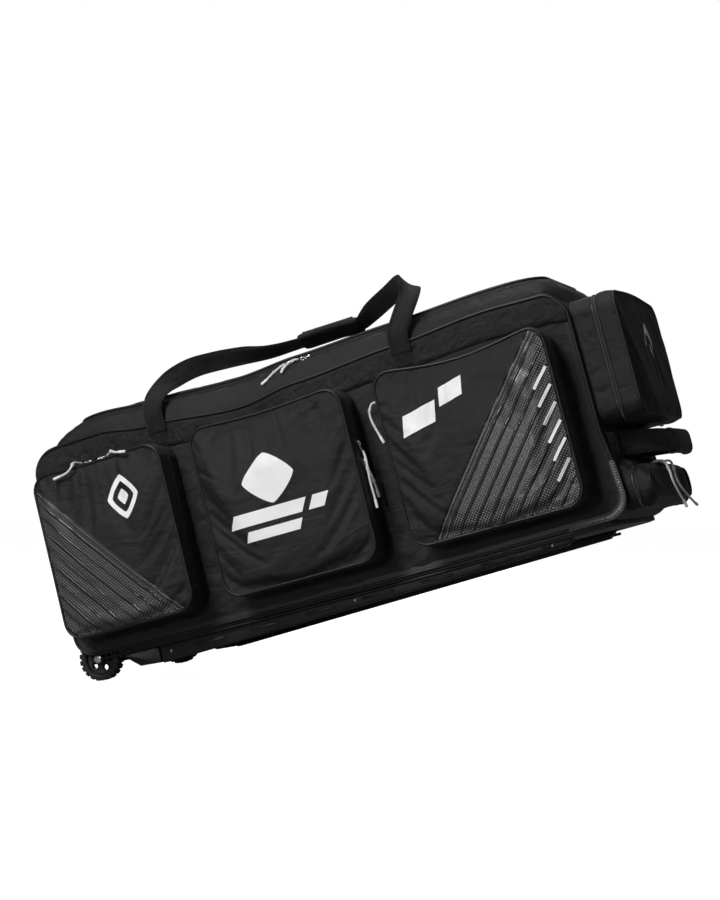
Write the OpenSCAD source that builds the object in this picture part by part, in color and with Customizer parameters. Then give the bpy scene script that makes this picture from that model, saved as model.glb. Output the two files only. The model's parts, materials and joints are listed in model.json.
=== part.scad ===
// Wheeled kit duffle: soft panels round a stiff base, zipped pockets, zipped lid, two wheels.
// Body frame: x = 0 at the wheel end, y = 0 on the middle plane, z = 0 at the lower piping.

/* [Body] */
// Length of the body between its end panels
body_l = 1000; // [960:5:1250]
// Depth of the body from front panel to rear panel
body_w = 346; // [320:2:420]
// Height of the front panel between its pipings
body_h = 365; // [350:1:440]
// Thickness of a foam-backed fabric panel
panel_t = 4; // [3:0.5:6]
// Corner radius of the front and rear panels
corner_r = 40; // [25:1:60]
// Diameter of the piping cord sewn along the edges
piping_d = 6; // [4:0.5:8]
// Thickness of the base panel below the lower piping
base_t = 8; // [5:0.5:12]
// Thickness of the loose stiffening board inside
board_t = 3; // [2:0.5:6]

/* [Lid] */
// Height of the raised collar that carries the lid
collar_h = 35; // [25:1:50]
// Distance of the lid from the wheel end
lid_start = 78; // [60:1:120]
// Distance of the lid from the handle end
lid_stop = 38; // [30:1:80]
// Depth of the lid from front to rear
lid_w = 300; // [270:1:330]
// Crown of the lid over its rim
lid_crown = 14; // [6:1:25]

/* [Pockets] */
// Height of the bottom of the front pockets
pocket_z = 34; // [25:1:50]
// Height of the front pockets
pocket_h = 286; // [200:1:296]
// Depth of a front pocket, gusset and cover together
pocket_d = 70; // [50:1:90]
// Corner radius of the front pockets
pocket_r = 30; // [15:1:45]
// Width of the pocket at the wheel end
left_pocket_w = 245; // [190:1:260]
// Width of the pocket in the middle
middle_pocket_w = 275; // [220:1:290]
// Width of the pocket at the handle end
right_pocket_w = 288; // [230:1:300]
// Gap between two front pockets
pocket_gap = 60; // [50:1:75]
// Distance of the first pocket from the wheel end
pocket_start = 28; // [15:1:50]
// Height of the bottom of the upper end pocket
end_pocket_z = 147; // [140:1:160]
// Height of the upper end pocket
end_pocket_h = 203; // [150:1:210]
// Depth of the upper end pocket
end_pocket_d = 68; // [45:1:90]
// Height of the lower end pocket
low_pocket_h = 64; // [50:1:70]
// Depth of the lower end pocket
low_pocket_d = 50; // [35:1:60]
// Width of both end pockets
end_pocket_w = 330; // [280:1:340]

/* [Wheels] */
// Diameter of a wheel over its tread
wheel_d = 76; // [60:0.4:92]
// Width of a wheel
wheel_w = 24; // [18:1:30]
// Diameter of the wheel bolt
axle_d = 8; // [6:0.5:10]
// Radial play of the wheel on its bolt
axle_play = 0.05; // [0.02:0.01:0.1]
// Wall of the plain bush in the hub
bush_t = 3; // [2:0.5:4]
// Distance of the wheel bolt from the wheel end
axle_x = 34; // [30:1:45]
// Depth of the wheel bolt below the lower piping
axle_drop = 5; // [0:1:10]
// Angle between the lower piping and the floor when the bag lies flat
lean = 1.5; // [0:0.1:2]
// Width of a skid rail
rail_w = 26; // [18:1:40]

/* [Handles] */
// Width of the carry webbing
strap_w = 36; // [25:1:40]
// Thickness of the carry webbing
strap_t = 3; // [2:0.5:4]
// Distance of the first handle leg from the wheel end
leg_start = 252; // [240:1:300]
// Distance between the two legs of a carry handle
leg_span = 458; // [400:1:480]
// Height of the end handle's webbing
end_strap_w = 40; // [30:1:44]
// Reach of the end handle beyond the end panel
end_reach = 86; // [75:1:95]

/* [Zips] */
// Width of the zip track that shows
track_w = 8; // [6:0.5:10]
// Height of the zip track over the fabric
track_t = 1; // [0.5:0.1:1.5]
// Diameter of a zip pull cord
cord_d = 4; // [3:0.5:5]

/* [Hidden] */
$fn = 48;
gap = 0.3;                                   // between pieces that move apart
eps = 0.02;
half_w = body_w / 2;
axle_z = -axle_drop;
wheel_r = wheel_d / 2;
floor_drop = wheel_r + axle_x * sin(lean) - axle_z * cos(lean);
board_z = panel_t + 0.2;
well_r = wheel_r + 5;                        // clearance of the wheel in its housing
wheel_out = half_w - panel_t - 4;            // outer face of a wheel
wheel_in = wheel_out - wheel_w;
house_out = half_w - panel_t - 0.4;
house_in = wheel_in - 10;
well_in = house_in - 6;                      // leaves room for the bolt's nut
house_l = axle_x + well_r + 7;
house_top = axle_z + well_r + 8;
bolt_head_t = 3;
bore_r = axle_d / 2 + axle_play;
bush_r = bore_r + bush_t;
rim_r = wheel_r - 10;
foot_l = 66;                                 // skid foot behind the wheel
rail_x0 = house_l + foot_l + 4;
rail_x1 = body_l - 110;
rail_y = half_w - 8 - rail_w / 2;
rail_nose = 14;
beam_l = 26;
collar_base = 22;                            // inset of the collar's foot from the end
lid_x0 = lid_start;
lid_x1 = body_l - lid_stop;
lid_r = 60;
lid_z = body_h + collar_h + gap;
lid_rim = 3.5;
gusset_d = pocket_d / 2;
pocket_back = -half_w;
pocket_front = pocket_back - pocket_d;
pocket_top = pocket_z + pocket_h;
middle_start = pocket_start + left_pocket_w + pocket_gap;
right_start = middle_start + middle_pocket_w + pocket_gap;
low_pocket_z = 8;
end_r = 26;
end_gusset_d = end_pocket_d / 2;
low_gusset_d = low_pocket_d / 2;
band_z = body_h - 42;                        // lower edge of the top band
band_t = 2.5;
strap_y = -half_w - max(band_t, piping_d / 2) - strap_t / 2 - gap;
hinge_z = body_h - 7;                        // carry handles turn here
leg_a = leg_start;
leg_b = leg_start + leg_span;
grip_l = 110;
grip_x = leg_start + 321;
grip_z = lid_z + lid_rim + lid_crown + 15.5;
rear_drop = 150;
end_hinge_z = 117;
end_grip_z = 103;
end_leg_y = 118;
end_x = body_l + end_reach;
x_low = axle_x * cos(lean) + axle_z * sin(lean) - wheel_r;
x_high = end_x * cos(lean) + (end_grip_z + end_strap_w / 2) * sin(lean);
rear_strap_y = half_w + band_t + strap_t * 1.5 + gap;
y_low = pocket_front;
y_high = rear_strap_y + strap_t / 2;
black = "#1a1a1b";
coal = "#242426";
steel = "#b9bcc0";
white = "#f2f2f0";

// Routes of the zip pull cords, in the body frame
main_route_a = [[502, -160, 392], [494, -163, 389], [486, -165, 385], [478, -167, 381],
    [470, -168, 376], [462, -169, 371.5], [455, -170, 368.5]];
main_route_b = [[527.5, -160.5, 392], [520, -165.5, 392.5], [512, -167.5, 390.5], [505, -169, 387],
    [499, -170, 382], [495, -170.5, 377]];
left_route_a = [[114, -209, 324.3], [112.5, -216, 325], [113, -225, 325.5], [115, -235, 325],
    [115.5, -243, 323.5], [114, -248, 318], [108, -249, 312.5], [100, -248.5, 309.5],
    [92, -248.5, 308], [83, -248, 307], [75, -248, 306]];
left_route_b = [[163.5, -208.5, 324.3], [170, -214, 325], [178, -223, 325.5], [186, -234, 325.5],
    [193, -243, 324], [200, -248, 320], [210, -248.5, 318], [220, -248.5, 316]];
middle_route_a = [[614.5, -208, 209.5], [617, -212, 204], [619, -216, 195], [619.5, -219, 184],
    [619, -220, 170], [618, -219, 156], [618, -218, 142], [618, -217, 128], [618, -217, 113]];
middle_route_b = [[614.5, -208, 180.5], [617, -206, 173], [618, -204, 165], [618, -201, 156],
    [618, -198, 147], [618, -196, 138], [618, -195, 131]];
right_route = [[662.5, -208.5, 276.5], [657, -210.5, 278.5], [651, -213, 278], [646.5, -215, 271],
    [644, -216, 261], [645, -216, 249], [648, -216, 237], [652, -216, 224], [656, -216, 211]];
low_route_a = [[1027, -43.5, 76.5], [1036, -47, 77.5], [1046, -52, 77.5], [1053.5, -57, 74],
    [1057.5, -62, 66], [1060, -66, 54], [1061, -68, 41], [1063, -64, 27], [1065, -57, 14],
    [1067, -50, 3], [1068, -46, -6]];
low_route_b = [[1027, 15.5, 76.5], [1036, 14, 77.5], [1046, 6, 77.5], [1054, -6, 74.5],
    [1058.5, -20, 67], [1061.5, -36, 56], [1064, -48, 44], [1066, -43, 30], [1068, -24, 18],
    [1069, 1, 8], [1069, 25, 1], [1069, 46, -4]];
cord_faces = 8;

// The body lies on its wheels and rails, so it leans a little against the floor
module rest() {
    translate([-(x_low + x_high) / 2, -(y_low + y_high) / 2, floor_drop])
        rotate([0, lean, 0]) children();
}

// Height of the floor in the body frame at a distance from the wheel end
function floor_z(x) = (x * sin(lean) - floor_drop) / cos(lean);

module rounded(w, h, r) {
    translate([r, 0]) square([w - 2 * r, h]);
    translate([0, r]) square([w, h - 2 * r]);
    for (x = [r, w - r], y = [r, h - r]) translate([x, y]) circle(r);
}

module ring(w, h, r, t) {
    difference() {
        rounded(w, h, r);
        translate([t, t]) rounded(w - 2 * t, h - 2 * t, max(r - t, 1));
    }
}

// Extrudes an x-z outline from y = y0 towards -y by d
module frontwards(y0, d) {
    translate([0, y0, 0]) rotate([90, 0, 0]) linear_extrude(d) children();
}

// Extrudes a y-z outline from x = x0 towards +x by d
module endwards(x0, d) {
    translate([x0, 0, 0]) rotate([90, 0, 90]) linear_extrude(d) children();
}

function unit(v) = v / norm(v);
function tangent(p, i) = unit(p[min(i + 1, len(p) - 1)] - p[max(i - 1, 0)]);

// Two triangles for a side face, which need not be flat
function quad(a, b, c, d) = [[a, b, c], [a, c, d]];

// A closed tube along a list of points
module tube(route, d, side = [0, 1, 0.2]) {
    n = cord_faces;
    rings = [for (i = [0 : len(route) - 1])
        let (t = tangent(route, i), a = unit(cross(t, side)), b = cross(t, a))
        for (k = [0 : n - 1]) route[i] + d / 2 * (a * cos(360 * k / n) + b * sin(360 * k / n))];
    last = (len(route) - 1) * n;
    polyhedron(rings, concat(
        [[for (k = [0 : n - 1]) k]],
        [[for (k = [0 : n - 1]) last + n - 1 - k]],
        [for (i = [0 : len(route) - 2], k = [0 : n - 1])
            each quad(i * n + k, (i + 1) * n + k, (i + 1) * n + (k + 1) % n, i * n + (k + 1) % n)]));
}

// A flat ribbon along points, each with the direction of its width
module ribbon(path, w, t) {
    p = [for (s = path) s[0]];
    corners = [for (i = [0 : len(p) - 1])
        let (d = tangent(p, i), across = unit(path[i][1] - (path[i][1] * d) * d),
            up = cross(d, across))
        for (c = [[-1, -1], [1, -1], [1, 1], [-1, 1]])
            p[i] + across * c[0] * w / 2 + up * c[1] * t / 2];
    last = (len(p) - 1) * 4;
    polyhedron(corners, concat(
        [[0, 1, 2, 3]], [[last + 3, last + 2, last + 1, last]],
        [for (i = [0 : len(p) - 2], k = [0 : 3])
            each quad(i * 4 + k, (i + 1) * 4 + k, (i + 1) * 4 + (k + 1) % 4, i * 4 + (k + 1) % 4)]));
}

/* ---- main shell ---- */

module outline() {
    rounded(body_l, body_h, corner_r);
}

module wheel_well_cuts() {
    for (s = [-1, 1])
        translate([-10, s > 0 ? well_in : -half_w + panel_t, -base_t - 10])
            cube([house_l + 10 + gap, half_w - panel_t - well_in, house_top + base_t + 10 + gap]);
}

module front_panel() {
    color(black) frontwards(-half_w + panel_t, panel_t) outline();
}

module rear_panel() {
    color(black) frontwards(half_w, panel_t) outline();
}

// The strip between the front and rear panels
module shell_strip() {
    frontwards(half_w - panel_t, body_w - 2 * panel_t)
        ring(body_l, body_h, corner_r, panel_t);
}

module wheel_end_panel() {
    color(black) difference() {
        intersection() {
            shell_strip();
            translate([-1, -half_w, -1]) cube([corner_r + 1, body_w, body_h + 2]);
        }
        wheel_well_cuts();
    }
}

module handle_end_panel() {
    color(black) intersection() {
        shell_strip();
        translate([body_l - corner_r, -half_w, -1]) cube([corner_r + 1, body_w, body_h + 2]);
    }
}

module base_panel() {
    color(coal) difference() {
        union() {
            translate([corner_r, -half_w + panel_t, 0])
                cube([body_l - 2 * corner_r, body_w - 2 * panel_t, panel_t]);
            translate([corner_r - 16, -half_w + 2, -base_t])
                cube([body_l - 2 * corner_r + 26, body_w - 4, base_t - gap]);
            translate([corner_r, -half_w + panel_t, -base_t])
                cube([body_l - 2 * corner_r, body_w - 2 * panel_t, base_t + 1]);
        }
        wheel_well_cuts();
        for (s = [-1, 1])
            translate([-10, s > 0 ? well_in : -half_w - 1, -base_t - 10])
                cube([house_l + 10 + gap, half_w - well_in + 1, base_t + 10 - gap]);
    }
}

module base_board() {
    color("#6b6b6b") difference() {
        translate([corner_r + 8, -half_w + panel_t + 6, board_z])
            cube([body_l - 2 * corner_r - 16, body_w - 2 * panel_t - 12, board_t]);
        wheel_well_cuts();
    }
}

// One level of the collar's outline, inset from the lid's edge at height z
module collar_slab(z, grow) {
    share = (z - body_h) / collar_h;
    x0 = collar_base * 2 + (lid_x0 - collar_base * 2) * share - grow;
    x1 = body_l - collar_base + (lid_x1 - body_l + collar_base) * share + grow;
    w = body_w - 10 + (lid_w - body_w + 10) * share + 2 * grow;
    translate([x0, -w / 2, z]) linear_extrude(eps) rounded(x1 - x0, w, lid_r, $fn = 32);
}

module collar_body(grow, z0, z1) {
    hull() {
        collar_slab(z0, grow);
        collar_slab(z1 - eps, grow);
    }
}

module top_collar() {
    color(black) difference() {
        union() {
            collar_body(0, body_h, body_h + collar_h);
            translate([corner_r, -half_w + panel_t, body_h - panel_t])
                cube([body_l - 2 * corner_r, body_w - 2 * panel_t, panel_t + eps]);
        }
        hull() {
            translate([0, 0, -panel_t - 1]) collar_slab(body_h, -14);
            translate([0, 0, 1]) collar_slab(body_h + collar_h, -6);
        }
    }
}

module edge_piping() {
    color(black) {
        frontwards(-half_w, piping_d / 2) difference() {
            outline();
            translate([piping_d, piping_d])
                rounded(body_l - 2 * piping_d, body_h - 2 * piping_d, corner_r - piping_d);
        }
        frontwards(half_w + piping_d / 2, piping_d / 2) difference() {
            outline();
            translate([piping_d, piping_d])
                rounded(body_l - 2 * piping_d, body_h - 2 * piping_d, corner_r - piping_d);
        }
    }
}

// Webbing bands under the upper piping, front and rear
module top_bands() {
    color(coal) for (y = [-half_w, half_w + band_t]) difference() {
        frontwards(y, band_t)
            translate([piping_d + gap, piping_d + gap])
                rounded(body_l - 2 * piping_d - 2 * gap, body_h - 2 * piping_d - 2 * gap,
                    corner_r - piping_d);
        translate([-1, -body_w, -1]) cube([body_l + 2, 2 * body_w, band_z + 1]);
    }
}

// Bolt positions that hold the rails to the base
rivet_x = [rail_x0 + 20, (rail_x0 + rail_x1) / 2, rail_x1 - 22];

module skid_rails() {
    color(coal) for (s = [-1, 1]) translate([0, s * rail_y + rail_w / 2, 0])
        rotate([90, 0, 0]) linear_extrude(rail_w)
            polygon([[rail_x0, -base_t], [rail_x0, floor_z(rail_x0)],
                [rail_x1, floor_z(rail_x1)], [rail_x1 + rail_nose, -base_t]]);
}

module rail_rivets() {
    color(steel) for (s = [-1, 1], x = rivet_x)
        translate([x, s * (rail_y + rail_w / 2), (floor_z(x) - base_t) / 2])
            rotate([-90 * s, 0, 0]) cylinder(h = 1.5, r = 3.5);
}

module wheel_chassis() {
    color(coal) difference() {
        union() {
            for (s = [-1, 1]) {
                translate([2, s > 0 ? house_in : -house_out, -base_t - 4])
                    cube([house_l - 2, house_out - house_in, house_top + base_t + 4]);
                translate([0, s > 0 ? house_out - 2 : -wheel_in + 2 - gap, 0])
                    rotate([90, 0, 0])
                        linear_extrude(house_out - wheel_in - 4)
                            polygon([[house_l - 2, -base_t - gap],
                                [house_l + foot_l, -base_t - gap],
                                [house_l + foot_l, floor_z(house_l + foot_l) + 2],
                                [house_l + 26, floor_z(house_l + 26) + 6],
                                [house_l - 2, -base_t - 4]]);
            }
            translate([house_l - beam_l, -house_in - 1, -base_t - 10])
                cube([beam_l, 2 * house_in + 2, 10 - gap]);
        }
        for (s = [-1, 1]) {
            translate([axle_x, s * (wheel_in - 2), axle_z]) rotate([-90 * s, 0, 0])
                cylinder(h = body_w, r = well_r, $fn = 64);
            translate([axle_x, s * body_w / 2, axle_z]) rotate([90 * s, 0, 0])
                cylinder(h = body_w / 2, r = axle_d / 2);
            translate([-axle_x, s > 0 ? wheel_in - 2 : -body_w, axle_z - wheel_d])
                cube([2 * axle_x + well_r - axle_x, body_w - wheel_in + 2, wheel_d]);
        }
    }
}

module wheel_bolts() {
    color(steel) for (s = [-1, 1]) translate([axle_x, 0, axle_z]) rotate([-90 * s, 0, 0]) {
        translate([0, 0, house_in - 4])
            cylinder(h = wheel_out + 0.4 + bolt_head_t - house_in + 4, r = axle_d / 2);
        translate([0, 0, wheel_out + 0.4]) cylinder(h = bolt_head_t, r = axle_d / 2 + 3);
        translate([0, 0, house_in - 4.2]) cylinder(h = 4, r = axle_d / 2 + 3);
    }
}

module corner_guard() {
    color(coal) frontwards(-half_w - piping_d / 2, 3)
        intersection() {
            ring(body_l + 1, body_h + 1, corner_r, 9);
            translate([body_l - 95, -1]) square([100, 90]);
        }
}

module handle_anchors() {
    color(coal) {
        for (x = [leg_a, leg_b]) {
            translate([x - strap_w / 2, -half_w - band_t - strap_t, band_z + 2])
                cube([strap_w, strap_t, hinge_z - band_z - 4]);
            translate([x - strap_w / 2, half_w + band_t, band_z + 2])
                cube([strap_w, strap_t, hinge_z - band_z - 4]);
        }
        for (s = [-1, 1]) translate([body_l, s * end_leg_y + (s > 0 ? 0 : -46),
            end_hinge_z - end_strap_w / 2]) cube([strap_t, 46, end_strap_w]);
    }
}

/* ---- pockets ---- */

module front_pocket(x0, w, y0, d, hollow) {
    translate([x0, 0, pocket_z]) {
        frontwards(y0, hollow) ring(w, pocket_h, pocket_r, panel_t);
        if (d > hollow) frontwards(y0 - hollow + eps, d - hollow) rounded(w, pocket_h, pocket_r);
    }
}

module front_gusset(x0, w) {
    color(black) front_pocket(x0, w, pocket_back, gusset_d, gusset_d);
}

module front_cover(x0, w) {
    d = pocket_d - gusset_d - gap;
    color(coal) front_pocket(x0, w, pocket_back - gusset_d - gap, d, d - panel_t);
}

module left_pocket_gusset() { front_gusset(pocket_start, left_pocket_w); }
module middle_pocket_gusset() { front_gusset(middle_start, middle_pocket_w); }
module right_pocket_gusset() { front_gusset(right_start, right_pocket_w); }
module left_pocket_cover() { front_cover(pocket_start, left_pocket_w); }
module middle_pocket_cover() { front_cover(middle_start, middle_pocket_w); }
module right_pocket_cover() { front_cover(right_start, right_pocket_w); }

module end_outline(z0, h) {
    translate([-end_pocket_w / 2, z0]) rounded(end_pocket_w, h, end_r);
}

module end_ring(z0, h) {
    translate([-end_pocket_w / 2, z0]) ring(end_pocket_w, h, end_r, panel_t);
}

module end_pocket_gusset() {
    color(black) endwards(body_l, end_gusset_d) end_ring(end_pocket_z, end_pocket_h);
}

module end_pocket_cover() {
    color(coal) {
        endwards(body_l + end_gusset_d + gap, end_gusset_d - gap - panel_t)
            end_ring(end_pocket_z, end_pocket_h);
        endwards(body_l + end_pocket_d - panel_t - eps, panel_t + eps)
            end_outline(end_pocket_z, end_pocket_h);
    }
}

module low_pocket_gusset() {
    color(black) endwards(body_l, low_gusset_d) end_ring(low_pocket_z, low_pocket_h);
}

module low_pocket_cover() {
    color(coal) {
        endwards(body_l + low_gusset_d + gap, low_gusset_d - gap - panel_t)
            end_ring(low_pocket_z, low_pocket_h);
        endwards(body_l + low_pocket_d - panel_t - eps, panel_t + eps)
            end_outline(low_pocket_z, low_pocket_h);
    }
}

/* ---- lid ---- */

module lid_slab(z, inset, t) {
    translate([lid_x0 + inset, -lid_w / 2 + inset, z]) linear_extrude(t)
        rounded(lid_x1 - lid_x0 - 2 * inset, lid_w - 2 * inset, lid_r - min(inset, 10) / 2, $fn = 32);
}

module lid_panel() {
    color(black) difference() {
        hull() {
            lid_slab(lid_z, 0, lid_rim);
            lid_slab(lid_z + lid_rim + lid_crown - eps, 55, eps);
        }
        hull() {
            lid_slab(lid_z - 1, 6, eps);
            lid_slab(lid_z + lid_rim + lid_crown - panel_t, 59, eps);
        }
    }
}

/* ---- zips ---- */

module track_ring(w, h, r) {
    difference() {
        translate([-track_t, -track_t]) rounded(w + 2 * track_t, h + 2 * track_t, r + track_t);
        rounded(w, h, r);
    }
}

module front_track(x0, w) {
    translate([x0, 0, pocket_z]) frontwards(pocket_back - gusset_d + track_w, track_w)
        track_ring(w, pocket_h, pocket_r);
}

module end_track(x0, d, z0, h) {
    endwards(x0 + d - track_w, track_w)
        translate([-end_pocket_w / 2, z0]) track_ring(end_pocket_w, h, end_r);
}

main_track_z = body_h + collar_h - 14;

module zip_tracks() {
    color("#2c2c2e") {
        front_track(pocket_start, left_pocket_w);
        front_track(middle_start, middle_pocket_w);
        front_track(right_start, right_pocket_w);
        end_track(body_l, end_gusset_d, end_pocket_z, end_pocket_h);
        end_track(body_l, low_gusset_d, low_pocket_z, low_pocket_h);
        difference() {
            collar_body(track_t, main_track_z, main_track_z + track_w);
            collar_body(0, body_h, body_h + collar_h);
        }
    }
}

// A slider on a track: x along the track, z away from the fabric, its pull towards +x
module slider() {
    color(steel) translate([0, 0, track_t + 0.4]) {
        translate([-6, -4.5, 0]) cube([12, 9, 2]);
        translate([-3, -1.2, 1.9]) cube([7, 2.4, 1.8]);
        translate([7.5, 0, 1.9]) difference() {
            cylinder(h = 1.8, r = 4);
            translate([0, 0, -1]) cylinder(h = 4, r = 2.2);
        }
    }
}

// The collar's face slopes back towards the lid
slope = atan((body_w - 10 - lid_w) / 2 / collar_h);

module main_slider(x, turn) {
    y = -(body_w - 10) / 2 + (main_track_z + track_w / 2 - body_h) * tan(slope);
    translate([x, y, main_track_z + track_w / 2]) rotate([90 - slope, 0, 0])
        rotate([0, 0, turn]) slider();
}

module top_slider(x, turn) {
    translate([x, pocket_back - gusset_d, pocket_top]) rotate([0, 0, turn]) slider();
}

module side_slider(z) {
    translate([middle_start + middle_pocket_w, pocket_back - gusset_d, z])
        rotate([0, 90, 0]) slider();
}

module main_slider_a() { main_slider(516, 180); }
module main_slider_b() { main_slider(541, 180); }
module left_slider_a() { top_slider(128, 180); }
module left_slider_b() { top_slider(150, 0); }
module middle_slider_a() { side_slider(222); }
module middle_slider_b() { side_slider(193); }
module right_slider() {
    translate([right_start, pocket_back - gusset_d, pocket_top - pocket_r + 1])
        rotate([0, -90, 0]) rotate([0, 0, 180]) slider();
}
module end_slider() {
    translate([body_l + end_gusset_d, 110, end_pocket_z]) rotate([180, 0, 90]) slider();
}
module low_slider(y, turn) {
    translate([body_l + low_gusset_d, y, low_pocket_z + low_pocket_h])
        rotate([0, 0, turn]) slider();
}
module low_slider_a() { low_slider(-30, -90); }
module low_slider_b() { low_slider(2, 90); }

/* ---- handles ---- */

X = [1, 0, 0];
front_path_a = [
    [[leg_a, strap_y, hinge_z + 1], X],
    [[leg_a, strap_y - 1, hinge_z + 22], X],
    [[leg_a + 4, strap_y + 3, hinge_z + 44], X],
    [[leg_a + 14, strap_y + 14, hinge_z + 64], [1, 0.1, -0.3]],
    [[leg_a + 32, strap_y + 28, hinge_z + 78], [0.7, 0.3, -0.8]],
    [[leg_a + 58, strap_y + 40, hinge_z + 83], [0.2, 0.5, -0.9]],
    [[leg_a + 100, strap_y + 52, hinge_z + 84], [0, 0.6, -0.8]],
    [[leg_a + 150, strap_y + 64, hinge_z + 82], [0, 0.7, -0.7]],
    [[leg_a + 205, strap_y + 74, hinge_z + 79], [0, 0.9, -0.4]],
    [[grip_x - grip_l / 2, strap_y + 78, grip_z], [0, 1, -0.1]],
    [[grip_x - grip_l / 2 + 30, strap_y + 78, grip_z], [0, 1, 0]]];
front_path_b = [
    [[grip_x + grip_l / 2 - 30, strap_y + 78, grip_z], [0, 1, 0]],
    [[grip_x + grip_l / 2, strap_y + 78, grip_z], [0, 1, 0]],
    [[leg_b - 55, strap_y + 70, hinge_z + 88], [0, 0.8, -0.4]],
    [[leg_b - 22, strap_y + 55, hinge_z + 100], [0.1, 0.8, -0.6]],
    [[leg_b + 6, strap_y + 38, hinge_z + 106], [0.6, 0.5, -0.8]],
    [[leg_b + 22, strap_y + 24, hinge_z + 96], [0.9, 0.2, -0.6]],
    [[leg_b + 22, strap_y + 12, hinge_z + 76], [1, 0, -0.2]],
    [[leg_b + 12, strap_y + 3, hinge_z + 48], [1, 0, 0]],
    [[leg_b + 3, strap_y - 1, hinge_z + 22], X],
    [[leg_b, strap_y, hinge_z + 1], X]];

module front_handle_strap() {
    color(black) {
        ribbon(front_path_a, strap_w, strap_t);
        ribbon(front_path_b, strap_w, strap_t);
    }
}

module front_handle_grip() {
    color(coal) translate([grip_x - grip_l / 2, strap_y + 78, grip_z])
        rotate([90, 0, 90]) linear_extrude(grip_l)
            translate([-24, -9]) rounded(48, 18, 8);
}

// The rear handle hangs flat down the rear panel
module rear_handle_strap() {
    r = 60;
    y = rear_strap_y + strap_t / 2;
    color(black) translate([leg_a - strap_w / 2, 0, hinge_z - rear_drop])
        frontwards(y, strap_t) difference() {
            rounded(leg_span + strap_w, rear_drop + r, r);
            translate([strap_w, strap_w])
                rounded(leg_span - strap_w, rear_drop + r, r - strap_w);
            translate([-1, rear_drop - 1]) square([leg_span + strap_w + 2, r + 2]);
        }
}

function end_point(s, y, x, z) = [[body_l + x, s * y, z], [0, 0, 1]];

module end_handle_strap() {
    z0 = end_hinge_z;
    z1 = end_grip_z;
    reach = end_reach - 12;
    color(black) ribbon([
        end_point(-1, end_leg_y - 3, strap_t / 2 + 4.2, z0),
        end_point(-1, end_leg_y - 12, 14, z0 - 2),
        end_point(-1, end_leg_y - 28, reach * 0.55, z0 - 6),
        end_point(-1, end_leg_y - 46, reach * 0.85, z1 + 4),
        end_point(-1, 40, reach, z1), end_point(1, 40, reach, z1),
        end_point(1, end_leg_y - 46, reach * 0.85, z1 + 4),
        end_point(1, end_leg_y - 28, reach * 0.55, z0 - 6),
        end_point(1, end_leg_y - 12, 14, z0 - 2),
        end_point(1, end_leg_y - 3, strap_t / 2 + 4.2, z0)], end_strap_w, strap_t);
}

module end_handle_grip() {
    w = 24;
    color(coal) translate([end_x - w, 62, end_grip_z - end_strap_w / 2])
        rotate([90, 0, 0]) linear_extrude(124) rounded(w, end_strap_w, 0.1);
}

/* ---- wheels ---- */

module on_axle(s) {
    translate([axle_x, s * wheel_in, axle_z]) rotate([-90 * s, 0, 0]) children();
}

module tyre() {
    bevel = 4;
    color(black) rotate_extrude($fn = 96) polygon([[rim_r, 1], [wheel_r - bevel, 0],
        [wheel_r, bevel], [wheel_r, wheel_w - bevel], [wheel_r - bevel, wheel_w],
        [rim_r, wheel_w - 1]]);
}

module hub() {
    color(coal) difference() {
        cylinder(h = wheel_w, r = rim_r, $fn = 96);
        for (z = [-1, wheel_w - 8]) translate([0, 0, z]) difference() {
            cylinder(h = 9, r = rim_r - 3);
            cylinder(h = 9, r = bush_r + 3);
        }
        for (k = [0 : 4]) rotate([0, 0, 72 * k])
            translate([(rim_r + bush_r) / 2, 0, -1]) cylinder(h = wheel_w + 2, r = 5.2);
        translate([0, 0, -1]) cylinder(h = wheel_w + 2, r = bush_r);
    }
}

module bush() {
    color("#8a8a86") difference() {
        cylinder(h = wheel_w, r = bush_r);
        translate([0, 0, -1]) cylinder(h = wheel_w + 2, r = bore_r);
    }
}

module front_tyre() { on_axle(-1) tyre(); }
module front_hub() { on_axle(-1) hub(); }
module front_bush() { on_axle(-1) bush(); }
module rear_tyre() { on_axle(1) tyre(); }
module rear_hub() { on_axle(1) hub(); }
module rear_bush() { on_axle(1) bush(); }

/* ---- cords ---- */

module cord(route) {
    color(white) tube(route, cord_d);
}

rest() front_panel();
rest() rear_panel();
rest() wheel_end_panel();
rest() handle_end_panel();
rest() base_panel();
rest() base_board();
rest() top_collar();
rest() edge_piping();
rest() top_bands();
rest() skid_rails();
rest() rail_rivets();
rest() wheel_chassis();
rest() wheel_bolts();
rest() corner_guard();
rest() handle_anchors();
rest() left_pocket_gusset();
rest() middle_pocket_gusset();
rest() right_pocket_gusset();
rest() end_pocket_gusset();
rest() low_pocket_gusset();
rest() zip_tracks();
rest() lid_panel();
rest() left_pocket_cover();
rest() middle_pocket_cover();
rest() right_pocket_cover();
rest() end_pocket_cover();
rest() low_pocket_cover();
rest() front_tyre();
rest() front_hub();
rest() front_bush();
rest() rear_tyre();
rest() rear_hub();
rest() rear_bush();
rest() front_handle_strap();
rest() front_handle_grip();
rest() rear_handle_strap();
rest() end_handle_strap();
rest() end_handle_grip();
rest() main_slider_a();
rest() main_slider_b();
rest() left_slider_a();
rest() left_slider_b();
rest() middle_slider_a();
rest() middle_slider_b();
rest() right_slider();
rest() end_slider();
rest() low_slider_a();
rest() low_slider_b();
rest() cord(main_route_a);  // main_cord_a
rest() cord(main_route_b);  // main_cord_b
rest() cord(left_route_a);  // left_cord_a
rest() cord(left_route_b);  // left_cord_b
rest() cord(middle_route_a);  // middle_cord_a
rest() cord(middle_route_b);  // middle_cord_b
rest() cord(right_route);  // right_cord
rest() cord(low_route_a);  // low_cord_a
rest() cord(low_route_b);  // low_cord_b
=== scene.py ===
import json
import math
import random

import bmesh
import bpy
from mathutils import Matrix, Vector, noise
from mathutils.bvhtree import BVHTree


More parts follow.
